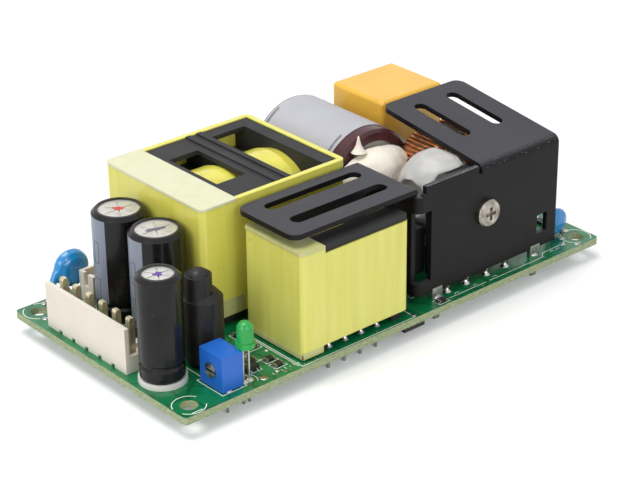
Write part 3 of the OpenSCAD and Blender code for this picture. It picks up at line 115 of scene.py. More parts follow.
class Look:
    """A node material under construction, with its principled shader."""

    def __init__(self, name, rough=0.5, metal=0.0, **sockets):
        self.material = bpy.data.materials.new(name)
        self.material.use_nodes = True
        self.tree = self.material.node_tree
        self.shader = self.tree.nodes["Principled BSDF"]
        self.shader.inputs["Roughness"].default_value = rough
        self.shader.inputs["Metallic"].default_value = metal
        for key, value in sockets.items():
            self.shader.inputs[key.replace("_", " ")].default_value = value
        self.place = self.add("ShaderNodeTexCoord").outputs["Object"]
        self.height = None

    def add(self, kind, **values):
        node = self.tree.nodes.new(kind)
        for key, value in values.items():
            if key in node.inputs:
                node.inputs[key].default_value = value
            else:
                setattr(node, key, value)
        return node

    def link(self, a, b):
        self.tree.links.new(a, b)

    def stretched(self, x=1, y=1, z=1):
        """Object place with each axis scaled, for streaks."""
        mapping = self.add("ShaderNodeMapping")
        mapping.inputs["Scale"].default_value = (x, y, z)
        self.link(self.place, mapping.inputs["Vector"])
        return mapping.outputs["Vector"]

    def noise(self, size_mm, detail=3, place=None):
        tex = self.add("ShaderNodeTexNoise", Scale=1 / (size_mm * MM), Detail=detail)
        self.link(place or self.place, tex.inputs["Vector"])
        return tex.outputs["Fac"]

    def cells(self, size_mm, feature="F1", output="Distance"):
        tex = self.add("ShaderNodeTexVoronoi", feature=feature)
        tex.inputs["Scale"].default_value = 1 / (size_mm * MM)
        self.link(self.place, tex.inputs["Vector"])
        return tex.outputs[output]

    def ramp(self, fac, *stops):
        """Colour ramp over (position, colour) stops."""
        node = self.add("ShaderNodeValToRGB")
        points = node.color_ramp.elements
        while len(points) < len(stops):
            points.new(0.5)
        for point, (position, colour) in zip(points, stops):
            point.position = position
            point.color = colour
        self.link(fac, node.inputs["Fac"])
        return node.outputs["Color"]

    def level(self, fac, low, high, from_low=0.0, from_high=1.0):
        node = self.add("ShaderNodeMapRange")
        limits = {"From Min": from_low, "From Max": from_high, "To Min": low, "To Max": high}
        for key, value in limits.items():
            node.inputs[key].default_value = value
        self.link(fac, node.inputs["Value"])
        return node.outputs["Result"]

    def math(self, operation, a, b=None):
        node = self.add("ShaderNodeMath", operation=operation)
        for socket, value in zip(node.inputs, (a, b)):
            if value is None:
                continue
            if isinstance(value, (int, float)):
                socket.default_value = value
            else:
                self.link(value, socket)
        return node.outputs["Value"]

    def mix(self, fac, a, b):
        node = self.add("ShaderNodeMix", data_type="RGBA")
        for socket, value in ((node.inputs[0], fac), (node.inputs[6], a), (node.inputs[7], b)):
            if isinstance(value, (tuple, float)):
                socket.default_value = value
            else:
                self.link(value, socket)
        return node.outputs[2]

    def axis(self, name):
        """One coordinate of the object place: X, Y or Z."""
        split = self.add("ShaderNodeSeparateXYZ")
        self.link(self.place, split.inputs[0])
        return split.outputs[name]

    def facing(self, name):
        """One component of the surface's own direction."""
        split = self.add("ShaderNodeSeparateXYZ")
        self.link(self.add("ShaderNodeNewGeometry").outputs["Normal"], split.inputs[0])
        return split.outputs[name]

    def colour(self, socket):
        if isinstance(socket, tuple):
            self.shader.inputs["Base Color"].default_value = socket
        else:
            self.link(socket, self.shader.inputs["Base Color"])

    def rough(self, socket):
        self.link(socket, self.shader.inputs["Roughness"])

    def bump(self, height, depth_mm, strength=1.0):
        """Adds a bump of that depth, on top of the bumps before it."""
        node = self.add("ShaderNodeBump", Strength=strength, Distance=depth_mm * MM)
        self.link(height, node.inputs["Height"])
        if self.height is not None:
            self.link(self.height, node.inputs["Normal"])
        self.height = node.outputs["Normal"]
        self.link(self.height, self.shader.inputs["Normal"])

    def soften(self, radius_mm):
        """Rounds sharp edges in the shading. Comes before any bump."""
        node = self.add("ShaderNodeBevel", samples=4)
        node.inputs["Radius"].default_value = radius_mm * MM
        self.height = node.outputs["Normal"]
        self.link(self.height, self.shader.inputs["Normal"])


def plastic(name, colour, rough, tint=0.12, grain_mm=0.25, grain_depth=0.01, edge_mm=0.12, **sockets):
    """Moulded plastic: slow colour drift, fine grain and edges that catch the light."""
    look = Look(name, rough, **sockets)
    look.soften(edge_mm)
    drift = look.noise(6, 3)
    look.colour(look.ramp(drift, (0.3, tinted(colour, 1 - tint)), (0.7, tinted(colour, 1 + tint))))
    look.rough(look.level(look.noise(1.5, 4), rough * 0.85, min(1, rough * 1.2)))
    look.bump(look.noise(grain_mm, 2), grain_depth)
    return look


def metal(name, colour, rough, dull=None, speck_mm=0.6, brushed=None, full=1.0):
    """Plated or bare metal with dull patches and fine marks."""
    look = Look(name, rough, full)
    look.soften(0.08)
    dull = dull or tinted(colour, 0.72)
    place = look.stretched(*brushed) if brushed else None
    look.colour(look.ramp(look.noise(speck_mm * 3, 4, place), (0.35, dull), (0.65, colour)))
    look.rough(look.level(look.noise(speck_mm, 4, place), rough * 0.7, min(1, rough * 1.45)))
    look.bump(look.noise(speck_mm * 0.7, 3, place), 0.006)
    return look


def board_look():
    """Green solder mask over etched copper on the faces, sawn glass fibre on the edges."""
    look = Look("solder_mask", 0.3, Coat_Weight=0.25, Coat_Roughness=0.15)
    flat = look.math("GREATER_THAN", look.math("ABSOLUTE", look.facing("Z")), 0.5)
    bare, copper, glint = linear(0, 92, 52), linear(4, 106, 60), linear(16, 124, 74)
    pour = look.math("GREATER_THAN", look.cells(5.2, "DISTANCE_TO_EDGE"), 0.045)
    mask = look.mix(pour, bare, look.ramp(look.noise(2.2, 5), (0.3, copper), (0.75, glint)))
    fibre = look.noise(0.22, 4, look.stretched(0.25, 0.25, 1.6))
    edge = look.ramp(fibre, (0.25, linear(104, 122, 84)), (0.55, linear(152, 164, 124)),
                     (0.8, linear(190, 192, 160)))
    look.colour(look.mix(flat, edge, mask))
    look.rough(look.math("ADD", look.math("MULTIPLY", flat, -0.45), 0.75))
    look.bump(look.math("MULTIPLY", pour, flat), 0.015, 0.5)
    look.bump(look.noise(0.3, 3), 0.008)
    return look.material


def tape_look(name, colour, pale, shade, gloss=0.28, lap_mm=9.0):
    """Polyester tape in wraps: upright streaks, trapped air and lap lines."""
    look = Look(name, gloss, Coat_Weight=0.35, Coat_Roughness=0.12, Subsurface_Weight=0.06,
                Subsurface_Scale=0.001)
    look.soften(0.25)
    streak = look.noise(2.2, 3, look.stretched(1, 1, 0.1))
    cloud = look.noise(9, 4)
    body = look.ramp(streak, (0.2, shade), (0.5, colour), (0.85, pale))
    look.colour(look.mix(look.level(cloud, 0.0, 0.7, 0.3, 0.7), body, colour))
    look.rough(look.level(look.noise(3, 4), gloss * 0.7, gloss * 1.7))
    look.bump(look.noise(2.8, 3, look.stretched(1, 1, 0.15)), 0.04, 0.5)
    look.bump(look.noise(lap_mm, 2), 0.25, 0.5)
    return look.material


def sleeve_look(name, colour, rough=0.22, dust=0.06, wrinkle=0.02):
    """Shrink sleeve: glossy film with faint flow marks and a little dust."""
    look = Look(name, rough, Coat_Weight=0.12, Coat_Roughness=0.1, Specular_IOR_Level=0.25)
    look.soften(0.1)
    speck = look.math("GREATER_THAN", look.noise(0.35, 2), 0.74)
    film = look.ramp(look.noise(4, 3), (0.3, colour), (0.8, tinted(colour, 1.5, 0.004)))
    look.colour(look.mix(speck, film, tinted(colour, 1, dust)))
    look.rough(look.level(look.noise(2, 4), rough * 0.7, rough * 1.6))
    look.bump(look.noise(3, 3, look.stretched(1, 1, 0.3)), wrinkle, 0.7)
    return look.material


def anodised_look():
    """Black anodised sheet: near black walls, and level faces painted a dull grey as a painted reflection of
    the sky.
    """
    look = Look("black_anodised", 0.46, Specular_IOR_Level=0.2)
    look.soften(0.16)
    wall = look.ramp(look.noise(7, 4), (0.3, linear(17, 15, 16)), (0.7, linear(23, 21, 22)))
    # Painted sky reflection: faces that point up get a lighter grey base colour than the near black walls.
    painted_sky_grey = look.ramp(look.noise(9, 4), (0.3, linear(54, 53, 58)), (0.7, linear(60, 59, 65)))
    look.colour(look.mix(look.level(look.facing("Z"), 0.0, 1.0, 0.55, 0.95), wall, painted_sky_grey))
    scuff = look.math("GREATER_THAN", look.noise(0.5, 6, look.stretched(0.3, 0.3, 1)), 0.73)
    base = look.level(look.noise(1.2, 5), 0.34, 0.5)
    look.rough(look.math("SUBTRACT", base, look.math("MULTIPLY", scuff, 0.08)))
    look.bump(look.noise(0.18, 2), 0.012)
    return look.material


def glass_look(name, colour, rough=0.12):
    """Tinted cast resin that lets some light through."""
    look = Look(name, rough, Transmission_Weight=0.45, IOR=1.45, Subsurface_Weight=0.3,
                Subsurface_Scale=0.0015)
    look.colour(look.ramp(look.noise(2.5, 2), (0.3, colour), (0.8, tinted(colour, 1.15))))
    look.rough(look.level(look.noise(1.5, 2), rough * 0.8, rough * 1.3))
    return look.material


def copper_look():
    """Enamelled copper wire with dark seams in the varnish."""
    look = Look("enamelled_copper", 0.3, 0.85, Coat_Weight=0.6, Coat_Roughness=0.12)
    look.colour(look.ramp(look.noise(1.1, 4), (0.25, linear(140, 74, 34)), (0.5, linear(196, 116, 58)),
                          (0.8, linear(232, 160, 92))))
    look.rough(look.level(look.noise(0.8, 3), 0.2, 0.42))
    look.bump(look.noise(0.5, 3), 0.012)
    return look.material


def silicone_look(name, low, high, rough=0.42):
    """Cured sealant with a slow drift between two shades."""
    look = Look(name, rough, Subsurface_Weight=0.18, Subsurface_Scale=0.0012)
    look.colour(look.ramp(look.noise(1.8, 4), (0.3, low), (0.7, high)))
    look.rough(look.level(look.noise(1.2, 3), rough * 0.7, rough * 1.3))
    look.bump(look.noise(1.6, 2), 0.02, 0.5)
    return look.material


def ferrite_look():
    """Dark sintered core with a fine grain."""
    look = Look("ferrite", 0.55)
    look.soften(0.15)
    look.colour(look.ramp(look.noise(0.8, 5), (0.3, linear(40, 40, 43)), (0.7, linear(62, 62, 66))))
    look.bump(look.noise(0.2, 4), 0.02)
    return look.material


MASK = board_look()
LEGEND = plastic("legend_ink", linear(226, 230, 220), 0.6, 0.05, edge_mm=0.01).material
TIN = metal("bright_tin", linear(205, 204, 196), 0.3).material
SOLDER = metal("solder", linear(196, 197, 196), 0.26, speck_mm=0.4).material
BRASS_TIN = metal("tinned_brass", linear(232, 222, 190), 0.34, linear(196, 184, 146), full=0.6).material
CAN = metal("drawn_aluminium", linear(214, 212, 208), 0.36, linear(196, 194, 190), 0.5, full=0.6).material
NICKEL = metal("nickel_steel", linear(200, 194, 184), 0.28, linear(138, 128, 116)).material
IVORY = plastic("ivory_nylon", linear(224, 216, 203), 0.42, 0.03, 0.4, 0.012, 0.15,
                Subsurface_Weight=0.1, Subsurface_Scale=0.001).material
PHENOLIC = plastic("bobbin_phenolic", linear(44, 44, 46), 0.5, 0.2, 0.5, 0.02, 0.12,
                   Specular_IOR_Level=0.22).material
EPOXY = plastic("moulded_epoxy", linear(34, 34, 35), 0.5, 0.15, 0.2, 0.012).material
CHIP = plastic("chip_epoxy", linear(28, 28, 30), 0.45, 0.15, 0.2, 0.008, 0.05).material
FERRITE = ferrite_look()
TAPE_LARGE = tape_look("tape_lemon", linear(224, 218, 96), linear(232, 228, 122), linear(214, 206, 78))
TAPE_SMALL = tape_look("tape_mustard", linear(218, 214, 106), linear(226, 224, 130), linear(208, 202, 88))
TAPE_PALE = tape_look("tape_cream", linear(216, 214, 178), linear(222, 220, 190), linear(208, 206, 164), 0.3)
TAPE_FOLD = tape_look("tape_fold", linear(196, 194, 132), linear(208, 206, 148), linear(178, 176, 110), 0.3)
COIL_TAPE = tape_look("coil_tape", linear(222, 214, 84), linear(230, 224, 106), linear(208, 198, 66), 0.22)
ANODISED = anodised_look()
BROWN = sleeve_look("brown_sleeve", linear(66, 34, 38), 0.26)
BLACK = sleeve_look("black_sleeve", linear(16, 15, 16), 0.2)
HEATSHRINK = sleeve_look("heat_shrink", linear(24, 23, 23), 0.42, 0.03, 0.05)
STRIPE = plastic("stripe_ink", linear(126, 134, 150), 0.3, 0.06, edge_mm=0.01).material
STRIPE_DARK = plastic("stripe_mark", linear(62, 66, 76), 0.35, 0.1, edge_mm=0.01).material
LABEL = plastic("label_paper", linear(174, 174, 181), 0.42, 0.03, 0.3, 0.008, 0.03).material
LABEL_LINE = plastic("label_line", linear(66, 66, 74), 0.45, 0.15, edge_mm=0.01).material
AMBER = plastic("amber_case", linear(230, 180, 58), 0.3, 0.05, 0.6, 0.02, 0.3,
                Subsurface_Weight=0.15, Subsurface_Scale=0.0015, Coat_Weight=0.3).material
CORE_COAT = plastic("core_coat", linear(206, 204, 188), 0.45, 0.08).material
DIVIDER = plastic("divider_card", linear(214, 226, 208), 0.5, 0.05).material
COPPER = copper_look()
SEAL = plastic("seal_rubber", linear(214, 213, 206), 0.55, 0.06).material
BLUE_CASE = plastic("blue_case", linear(28, 100, 196), 0.38, 0.08, 0.35, 0.015, 0.15).material
BARE_EDGE = metal("sheared_metal", linear(150, 150, 152), 0.4, linear(84, 84, 88), 0.25).material
ROTOR = metal("rotor_nickel", linear(206, 204, 198), 0.3, linear(120, 116, 108)).material
GREEN_LENS = glass_look("green_lens", linear(56, 190, 96))
BLUE_COAT = plastic("blue_epoxy_coat", linear(30, 134, 200), 0.16, 0.08, 0.9, 0.03, 0.2,
                    Coat_Weight=0.5).material
ORANGE = plastic("orange_sleeving", linear(222, 96, 62), 0.45, 0.1).material
SILICONE = silicone_look("warm_silicone", linear(230, 221, 206), linear(238, 231, 220))
GREY_SILICONE = silicone_look("grey_silicone", linear(176, 175, 173), linear(190, 189, 187))
FUSE_CASE = plastic("fuse_case", linear(62, 46, 38), 0.45, 0.15).material

DRESS = {
    "circuit_board": MASK, "solder_joints": SOLDER, "surface_parts_top": CHIP,
    "surface_parts_bottom": CHIP, "output_header": IVORY, "output_pins": BRASS_TIN, "fan_header": IVORY,
    "fan_pins": BRASS_TIN, "input_header": IVORY, "input_pins": BRASS_TIN,
    "large_transformer_core": FERRITE, "large_transformer_bobbin": PHENOLIC,
    "large_transformer_coil": COIL_TAPE, "large_transformer_tape": TAPE_LARGE,
    "large_transformer_top_tape": TAPE_PALE, "large_transformer_pins": TIN,
    "small_transformer_core": FERRITE, "small_transformer_bobbin": PHENOLIC,
    "small_transformer_coil": COIL_TAPE, "small_transformer_tape": TAPE_SMALL,
    "small_transformer_top_tape": TAPE_FOLD, "small_transformer_pins": TIN, "heatsink": ANODISED,
    "heatsink_screw": NICKEL, "heatsink_nut": NICKEL, "heatsink_feet": TIN, "bridge_rectifier": EPOXY,
    "bridge_leads": TIN, "power_transistor": EPOXY, "transistor_tab": TIN, "transistor_screw": NICKEL,
    "bulk_capacitor_can": CAN, "bulk_capacitor_sleeve": BROWN, "bulk_capacitor_label": LABEL,
    "bulk_capacitor_leads": TIN, "film_capacitor": AMBER, "film_capacitor_leads": TIN,
    "choke_core": CORE_COAT, "choke_winding_left": COPPER, "choke_winding_right": COPPER,
    "choke_divider": DIVIDER, "choke_leads": COPPER, "output_capacitor_cans": CAN,
    "output_capacitor_sleeves": BLACK, "small_capacitor_can": CAN, "small_capacitor_sleeve": BLACK,
    "capacitor_seals": SEAL, "capacitor_leads": TIN, "rod_choke": HEATSHRINK, "rod_choke_leads": TIN,
    "trimmer_body": BLUE_CASE, "trimmer_rotor": ROTOR, "trimmer_leads": TIN, "lamp_lens": GREEN_LENS,
    "lamp_leads": TIN, "disc_capacitors": BLUE_COAT, "disc_capacitor_leads": TIN,
    "bulk_silicone": SILICONE, "corner_silicone": GREY_SILICONE, "fuses": FUSE_CASE,
}
for node_name, material in DRESS.items():
    NODES[node_name].data.materials.clear()
    NODES[node_name].data.materials.append(material)


# ---------- mesh building ----------

class Shape:
    """Vertices in millimetres and faces, gathered for one piece."""

    def __init__(self):
        self.verts = []
        self.faces = []

    def add(self, verts, faces):
        base = len(self.verts)
        self.verts += [tuple(v) for v in verts]
        self.faces += [tuple(base + i for i in f) for f in faces]

    def box(self, low, high, bevel=0.0):
        """Block with its edges cut back by bevel."""
        bm = bmesh.new()
        bmesh.ops.create_cube(bm, size=1)
        centre, size = (np.array(low) + high) / 2, np.array(high) - low
        for v in bm.verts:
            v.co = Vector(centre + np.array(v.co) * size)
        if bevel:
            bmesh.ops.bevel(bm, geom=bm.edges[:], offset=bevel, segments=2, affect="EDGES")
        bm.verts.index_update()
        self.add([v.co for v in bm.verts], [[v.index for v in f.verts] for f in bm.faces])
        bm.free()

    def ribbon(self, points, width, z, thick=0.02, closed=False):
        """Flat printed line on a level surface at height z."""
        count = len(points)
        edge = []
        for i, p in enumerate(points):
            back = points[i - 1] if i or closed else p
            ahead = points[(i + 1) % count] if i < count - 1 or closed else p
            into, away = np.subtract(p, back), np.subtract(ahead, p)
            into = into / (np.linalg.norm(into) or 1)
            away = away / (np.linalg.norm(away) or 1)
            run = into + away
            run = run / (np.linalg.norm(run) or 1)
            turn = max(0.5, abs(float(np.dot(run, away if away.any() else into))))
            side = np.array([-run[1], run[0]]) * width / 2 / turn
            edge += [(*(np.array(p) + side), z), (*(np.array(p) - side), z),
                     (*(np.array(p) - side), z + thick), (*(np.array(p) + side), z + thick)]
        faces = []
        for i in range(count if closed else count - 1):
            a, b = 4 * i, 4 * ((i + 1) % count)
            faces += [(a + k, a + (k + 1) % 4, b + (k + 1) % 4, b + k) for k in range(4)]
        if not closed:
            faces += [(3, 2, 1, 0), tuple(4 * (count - 1) + k for k in range(4))]
        self.add(edge, faces)

    def tube(self, path, radius, sides=12, closed=False):
        """Round wire along a list of points; radius may be a list."""
        path = [np.array(p, float) for p in path]
        count = len(path)
        radii = radius if isinstance(radius, (list, tuple)) else [radius] * count
        tangents = []
        for i in range(count):
            a = path[i - 1] if i or closed else path[i]
            b = path[(i + 1) % count] if i < count - 1 or closed else path[i]
            tangents.append((b - a) / (np.linalg.norm(b - a) or 1))
        side = np.cross(tangents[0], (0.31, 0.23, 0.92))
        side = side / np.linalg.norm(side)
        rings = []
        for p, t, r in zip(path, tangents, radii):
            side = side - t * np.dot(side, t)
            side = side / np.linalg.norm(side)
            up = np.cross(t, side)
            rings.append([p + r * (math.cos(a) * side + math.sin(a) * up)
                          for a in np.linspace(0, 2 * math.pi, sides, endpoint=False)])
        faces = []
        for i in range(count if closed else count - 1):
            a, b = i * sides, ((i + 1) % count) * sides
            faces += [(a + k, a + (k + 1) % sides, b + (k + 1) % sides, b + k) for k in range(sides)]
        if not closed:
            faces += [tuple(range(sides - 1, -1, -1)), tuple((count - 1) * sides + k for k in range(sides))]
        self.add([v for ring in rings for v in ring], faces)

    def revolve(self, profile, centre, steps=48, start=0.0, sweep=360.0, axis="Z"):
        """Surface of revolution of (radius, along) points, closed as a solid of that profile."""
        full = sweep >= 360
        turns = [math.radians(start + sweep * i / steps) for i in range(steps if full else steps + 1)]
        verts = []
        for a in turns:
            for r, h in profile:
                c, s = r * math.cos(a), r * math.sin(a)
                p = {"Z": (c, s, h), "X": (h, c, s), "Y": (s, h, c)}[axis]
                verts.append(np.add(p, centre))
        n, faces = len(profile), []
        for i in range(len(turns) if full else len(turns) - 1):
            a, b = i * n, ((i + 1) % len(turns)) * n
            faces += [(a + k, b + k, b + (k + 1) % n, a + (k + 1) % n) for k in range(n)]
        if not full:
            faces += [tuple(range(n)), tuple((len(turns) - 1) * n + k for k in range(n - 1, -1, -1))]
        self.add(verts, faces)

    def grid(self, rows):
        """Closed loop surface through rows of points, capped at both ends."""
        n = len(rows[0])
        faces = []
        for i in range(len(rows) - 1):
            a, b = i * n, (i + 1) * n
            faces += [(a + k, a + (k + 1) % n, b + (k + 1) % n, b + k) for k in range(n)]
        faces += [tuple(range(n - 1, -1, -1)), tuple((len(rows) - 1) * n + k for k in range(n))]
        self.add([p for row in rows for p in row], faces)


def piece(name, shape, material, body="root", smooth=40, instead_of=()):
    """Makes a piece of the scene that moves with a CAD body."""
    mesh = bpy.data.meshes.new(name)
    mesh.from_pydata([Vector(v) * MM for v in shape.verts], [], shape.faces)
    bm = bmesh.new()
    bm.from_mesh(mesh)
    bmesh.ops.remove_doubles(bm, verts=bm.verts[:], dist=1e-8)
    bmesh.ops.recalc_face_normals(bm, faces=bm.faces[:])
    limit = math.radians(smooth)
    for face in bm.faces:
        face.smooth = True
    for edge in bm.edges:
        edge.smooth = len(edge.link_faces) == 2 and edge.calc_face_angle(math.pi) < limit
    bm.to_mesh(mesh)
    bm.free()
    mesh.materials.append(material)
    obj = bpy.data.objects.new(name, mesh)
    bpy.context.scene.collection.objects.link(obj)
    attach(obj, body)
    if instead_of:
        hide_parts(*instead_of)
    return obj


def arc(cx, cy, r, start, end, steps=24):
    """Points of a plan arc, angles in degrees."""
    return [(cx + r * math.cos(math.radians(a)), cy + r * math.sin(math.radians(a)))
            for a in np.linspace(start, end, steps)]


# ---------- printed legend, pads and tracks on the board ----------

INK_Z = BOARD_TOP + 0.005
PAD_Z = BOARD_TOP + 0.002
HOLES = [(sx * 47.625, sy * 22.225) for sx in (-1, 1) for sy in (-1, 1)]
HOLE_RING_R = 2.95
EDGE_RULE_Y = -24.1  # rule along the front edge beside the heatsink
EDGE_TICK_Y = -23.6
PAD_SPOTS = [(-32.5, -23.6, 0.85), (-29.2, -23.2, 0.5), (43.2, -22.8, 0.6), (2.0, -24.4, 0.5),
             (-26.0, -16.5, 0.45)]
WALL_JOINTS_X = (13.0, 17.9, 23.2, 28.3)  # soldered ends under the heatsink's wall


def outline(shape, low, high, width=0.16):
    """Printed rectangle round a part's footprint."""
    corners = [(low[0], low[1]), (high[0], low[1]), (high[0], high[1]), (low[0], high[1])]
    shape.ribbon(corners, width, INK_Z, closed=True)


def legend():
    """White print: rings round the mounting holes, footprints, rules and ticks, with no lettering."""
    ink = Shape()
    for i, (x, y) in enumerate(HOLES):
        first = 28 if i == 0 else -60
        for a0, a1 in ((0, 138), (182, 300)):
            ink.ribbon(arc(x, y, HOLE_RING_R, first + a0, first + a1), 0.18, INK_Z)
    ink.ribbon([(-48.9, -24.7), (-46.7, -24.7)], 0.18, INK_Z)
    footprints = {"trimmer_body": 0.35, "small_transformer_tape": 0.9, "rod_choke": 0.4, "fan_header": 0.3,
                  "film_capacitor": 0.25, "power_transistor": 0.8}
    for node, gap in footprints.items():
        low, high = span_of(node)
        outline(ink, low[:2] - gap, high[:2] + gap)
    for low, high in islands("surface_parts_top") + islands("fuses"):
        if high[0] < 40 or high[2] > 5:
            outline(ink, low[:2] - 0.32, high[:2] + 0.32, 0.12)
    low, high = span_of("lamp_lens")
    cx, cy = (low[:2] + high[:2]) / 2
    ink.ribbon(arc(cx, cy, 2.1, -40, 220), 0.14, INK_Z)
    for low, high in islands("output_capacitor_cans"):
        cx, cy = (low[:2] + high[:2]) / 2
        ink.ribbon(arc(cx, cy, (high[0] - low[0]) / 2 + 0.5, 0, 360, 60)[:-1], 0.16, INK_Z, closed=True)
    # Rule in front of the small transformer and short bars beside the surface parts
    low, high = span_of("small_transformer_tape")
    ink.ribbon([(low[0] - 1.3, low[1] - 0.4), (low[0] - 1.3, high[1] - 1.5)], 0.14, INK_Z)
    for i in range(7):
        x = -30.4 + 0.95 * i
        ink.ribbon([(x, -23.9), (x, -23.9 + 0.5 + 0.3 * (i % 2))], 0.11, INK_Z)
    for i in range(4):
        y = -12.8 + 1.4 * i
        ink.ribbon([(-25.9, y), (-25.2, y)], 0.11, INK_Z)
    # Ticks along the front edge beside the heatsink
    for start, end in ((11.4, 21.0), (21.9, 36.2)):
        ink.ribbon([(start, EDGE_RULE_Y), (end, EDGE_RULE_Y)], 0.14, INK_Z)
    ink.ribbon([(36.2, EDGE_RULE_Y), (37.6, -22.9), (43.6, -22.7), (45.6, -21.2)], 0.14, INK_Z)
    for x in (13.4, 18.2, 23.4, 39.0, 40.6):
        ink.ribbon([(x, EDGE_TICK_Y), (x + 0.5, -23.3), (x + 1.0, EDGE_TICK_Y)], 0.12, INK_Z)
    piece("board_legend", ink, LEGEND)


def pads():
    """Tinned test pads, the dots round the mounting holes, and the fillets where leads enter the board."""
    tin = Shape()
    spots = list(PAD_SPOTS)
    for x, y in HOLES[1:]:
        for k in range(5):
            a = math.radians(72 * k + (40 if x < 0 else 10))
            spots.append((x + 3.1 * math.cos(a), y + 3.1 * math.sin(a), 0.62))
    for x, y, r in spots:
        if abs(x) + r < 50.6 and abs(y) + r < 25.3:
            tin.revolve([(0.001, 0), (r, 0), (r * 0.96, 0.03), (r * 0.6, 0.09), (0.001, 0.11)],
                        (x, y, PAD_Z), 28)
    leads = (islands("lamp_leads") + islands("trimmer_leads") + islands("rod_choke_leads")
             + islands("disc_capacitor_leads")[:2] + islands("heatsink_feet"))
    for low, high in leads:
        cx, cy = (low[0] + high[0]) / 2, (low[1] + high[1]) / 2
        if high[0] - low[0] <= 3:
            tin.revolve([(0.3, 0), (0.95, 0), (0.8, 0.10), (0.48, 0.34), (0.3, 0.42)], (cx, cy, PAD_Z), 28)
    piece("board_pads", tin, SOLDER, smooth=60)


def end_caps(tin, low, high, seat, long, under):
    """Tinned ends of a two terminal part, each with a solder fillet on the board."""
    size = high - low
    for s in (0, 1):
        a, b = low.copy() - 0.015, high.copy() + 0.015
        if s == 0:
            b[long] = low[long] + size[long] * 0.2
        else:
            a[long] = high[long] - size[long] * 0.2
        a[2], b[2] = max(a[2], low[2]), min(b[2], high[2]) + 0.01
        tin.box(a, b, 0.05)
        fillet = (a + b) / 2
        fillet[long] += (0.28 if s else -0.28)
        fillet[2] = seat
        half = [0.26, 0.26]
        half[1 - long] = size[1 - long] * 0.46
        below, above = (0.16, 0.0) if under else (0.0, 0.16)
        tin.box(fillet - np.array([*half, below]), fillet + np.array([*half, above]), 0.05)


def gull_wings(tin, low, high, seat, long, under):
    """Bent legs on both long sides: four a side, or two and one on a small part."""
    size = high - low
    across, up = 1 - long, -1 if under else 1
    for s in (-1, 1):
        n = 4 if max(size[:2]) >= 3.2 else (2 if s < 0 else 1)
        for k in range(n):
            p = (low + high) / 2
            p[long] += (k - (n - 1) / 2) * (size[long] / (n + 0.2))
            p[across] += s * (size[across] / 2)
            path = []
            for d, h in ((-0.1, 0.5), (0.28, 0.5), (0.42, 0.3), (0.5, 0.06), (0.85, 0.05)):
                q = p.copy()
                q[across] += s * d
                q[2] = seat + up * h * min(1.0, size[2])
                path.append(q)
            tin.tube(path, 0.13, 6)


def chip_ends():
    """Tinned ends on the two terminal parts and gull wings on the rest, on both sides of the board."""
    tin = Shape()
    for node in ("surface_parts_top", "surface_parts_bottom"):
        under = node.endswith("bottom")
        for low, high in islands(node):
            size = high - low
            two_ended = size[2] < 0.85 and max(size[:2]) < 3.3
            add_ends = end_caps if two_ended else gull_wings
            add_ends(tin, low, high, high[2] if under else low[2], 0 if size[0] >= size[1] else 1, under)
    piece("chip_ends", tin, SOLDER)


def vias():
    """Small plated holes over the open parts of the board, kept clear of the small transformer."""
    tin = Shape()
    front = [(rng.uniform(-33, 48), rng.uniform(-24.7, -23.3)) for _ in range(26)]
    right = [(rng.uniform(42, 49.5), rng.uniform(-14, -8)) for _ in range(14)]
    for x, y in [(-24.2, -24.5)] + front + right:
        if not (-24.5 < x < 0.5 and y > -24.4):
            tin.revolve([(0.12, 0), (0.27, 0), (0.27, 0.02), (0.12, 0.02)], (x, y, BOARD_TOP + 0.001), 16)
    piece("board_vias", tin, SOLDER)


def solder_cones():
    """Wetted solder fillets with a concave flank round each tail, instead of the plain cones."""
    tin = Shape()
    for low, high in islands("solder_joints"):
        centre = (low + high) / 2
        r = (high[0] - low[0]) / 2
        h = high[2] - low[2]
        lead = max(0.2, r - 0.75)
        jitter = rng.uniform(-0.05, 0.05)
        flank = r - lead
        profile = [(lead, 0.0), (r, 0.0), (r - 0.06, -0.1 * h), (lead + flank * (0.52 + jitter), -0.34 * h),
                   (lead + flank * 0.24, -0.66 * h), (lead + 0.1, -h), (lead, -h)]
        tin.revolve(profile, (centre[0], centre[1], high[2]), 20)
    piece("solder_fillets", tin, SOLDER, smooth=60, instead_of=("solder_joints",))


def front_joints():
    """Soldered lead ends on the board in front of the small transformer and under the heatsink's wall."""
    tin = Shape()
    spots = [((low + high) / 2)[:2] for low, high in islands("small_transformer_pins")]
    spots = [(x, y, 0.95) for x, y in spots if y < -20]
    wall_front = span_of("heatsink")[0][1]
    spots += [(x, wall_front + 0.75, 0.8) for x in WALL_JOINTS_X]
    for x, y, height in spots:
        cone = [(0.001, 0), (0.9, 0), (0.78, 0.1), (0.45, 0.45 * height), (0.32, height),
                (0.001, height + 0.06)]
        tin.revolve(cone, (x, y, PAD_Z), 24)
    # Bare tin land beside the heatsink's left foot
    land = [(9.4, wall_front + 0.8), (9.0, wall_front - 1.4), (11.1, wall_front - 1.75),
            (10.7, wall_front + 1.2)]
    tin.grid([[(x, y, z) for x, y in land] for z in (PAD_Z, BOARD_TOP + 0.07)])
    piece("front_joints", tin, SOLDER, smooth=60)


WALL_TOP = 24.9      # top of the wall's stretch that isn't folded over
WALL_TOP_X = 6.9     # where that stretch starts
WALL_TOP_L = 12.9
FOLD_R = 1.6         # outside radius of the fold
FOLD_AXIS_Z = 23.4


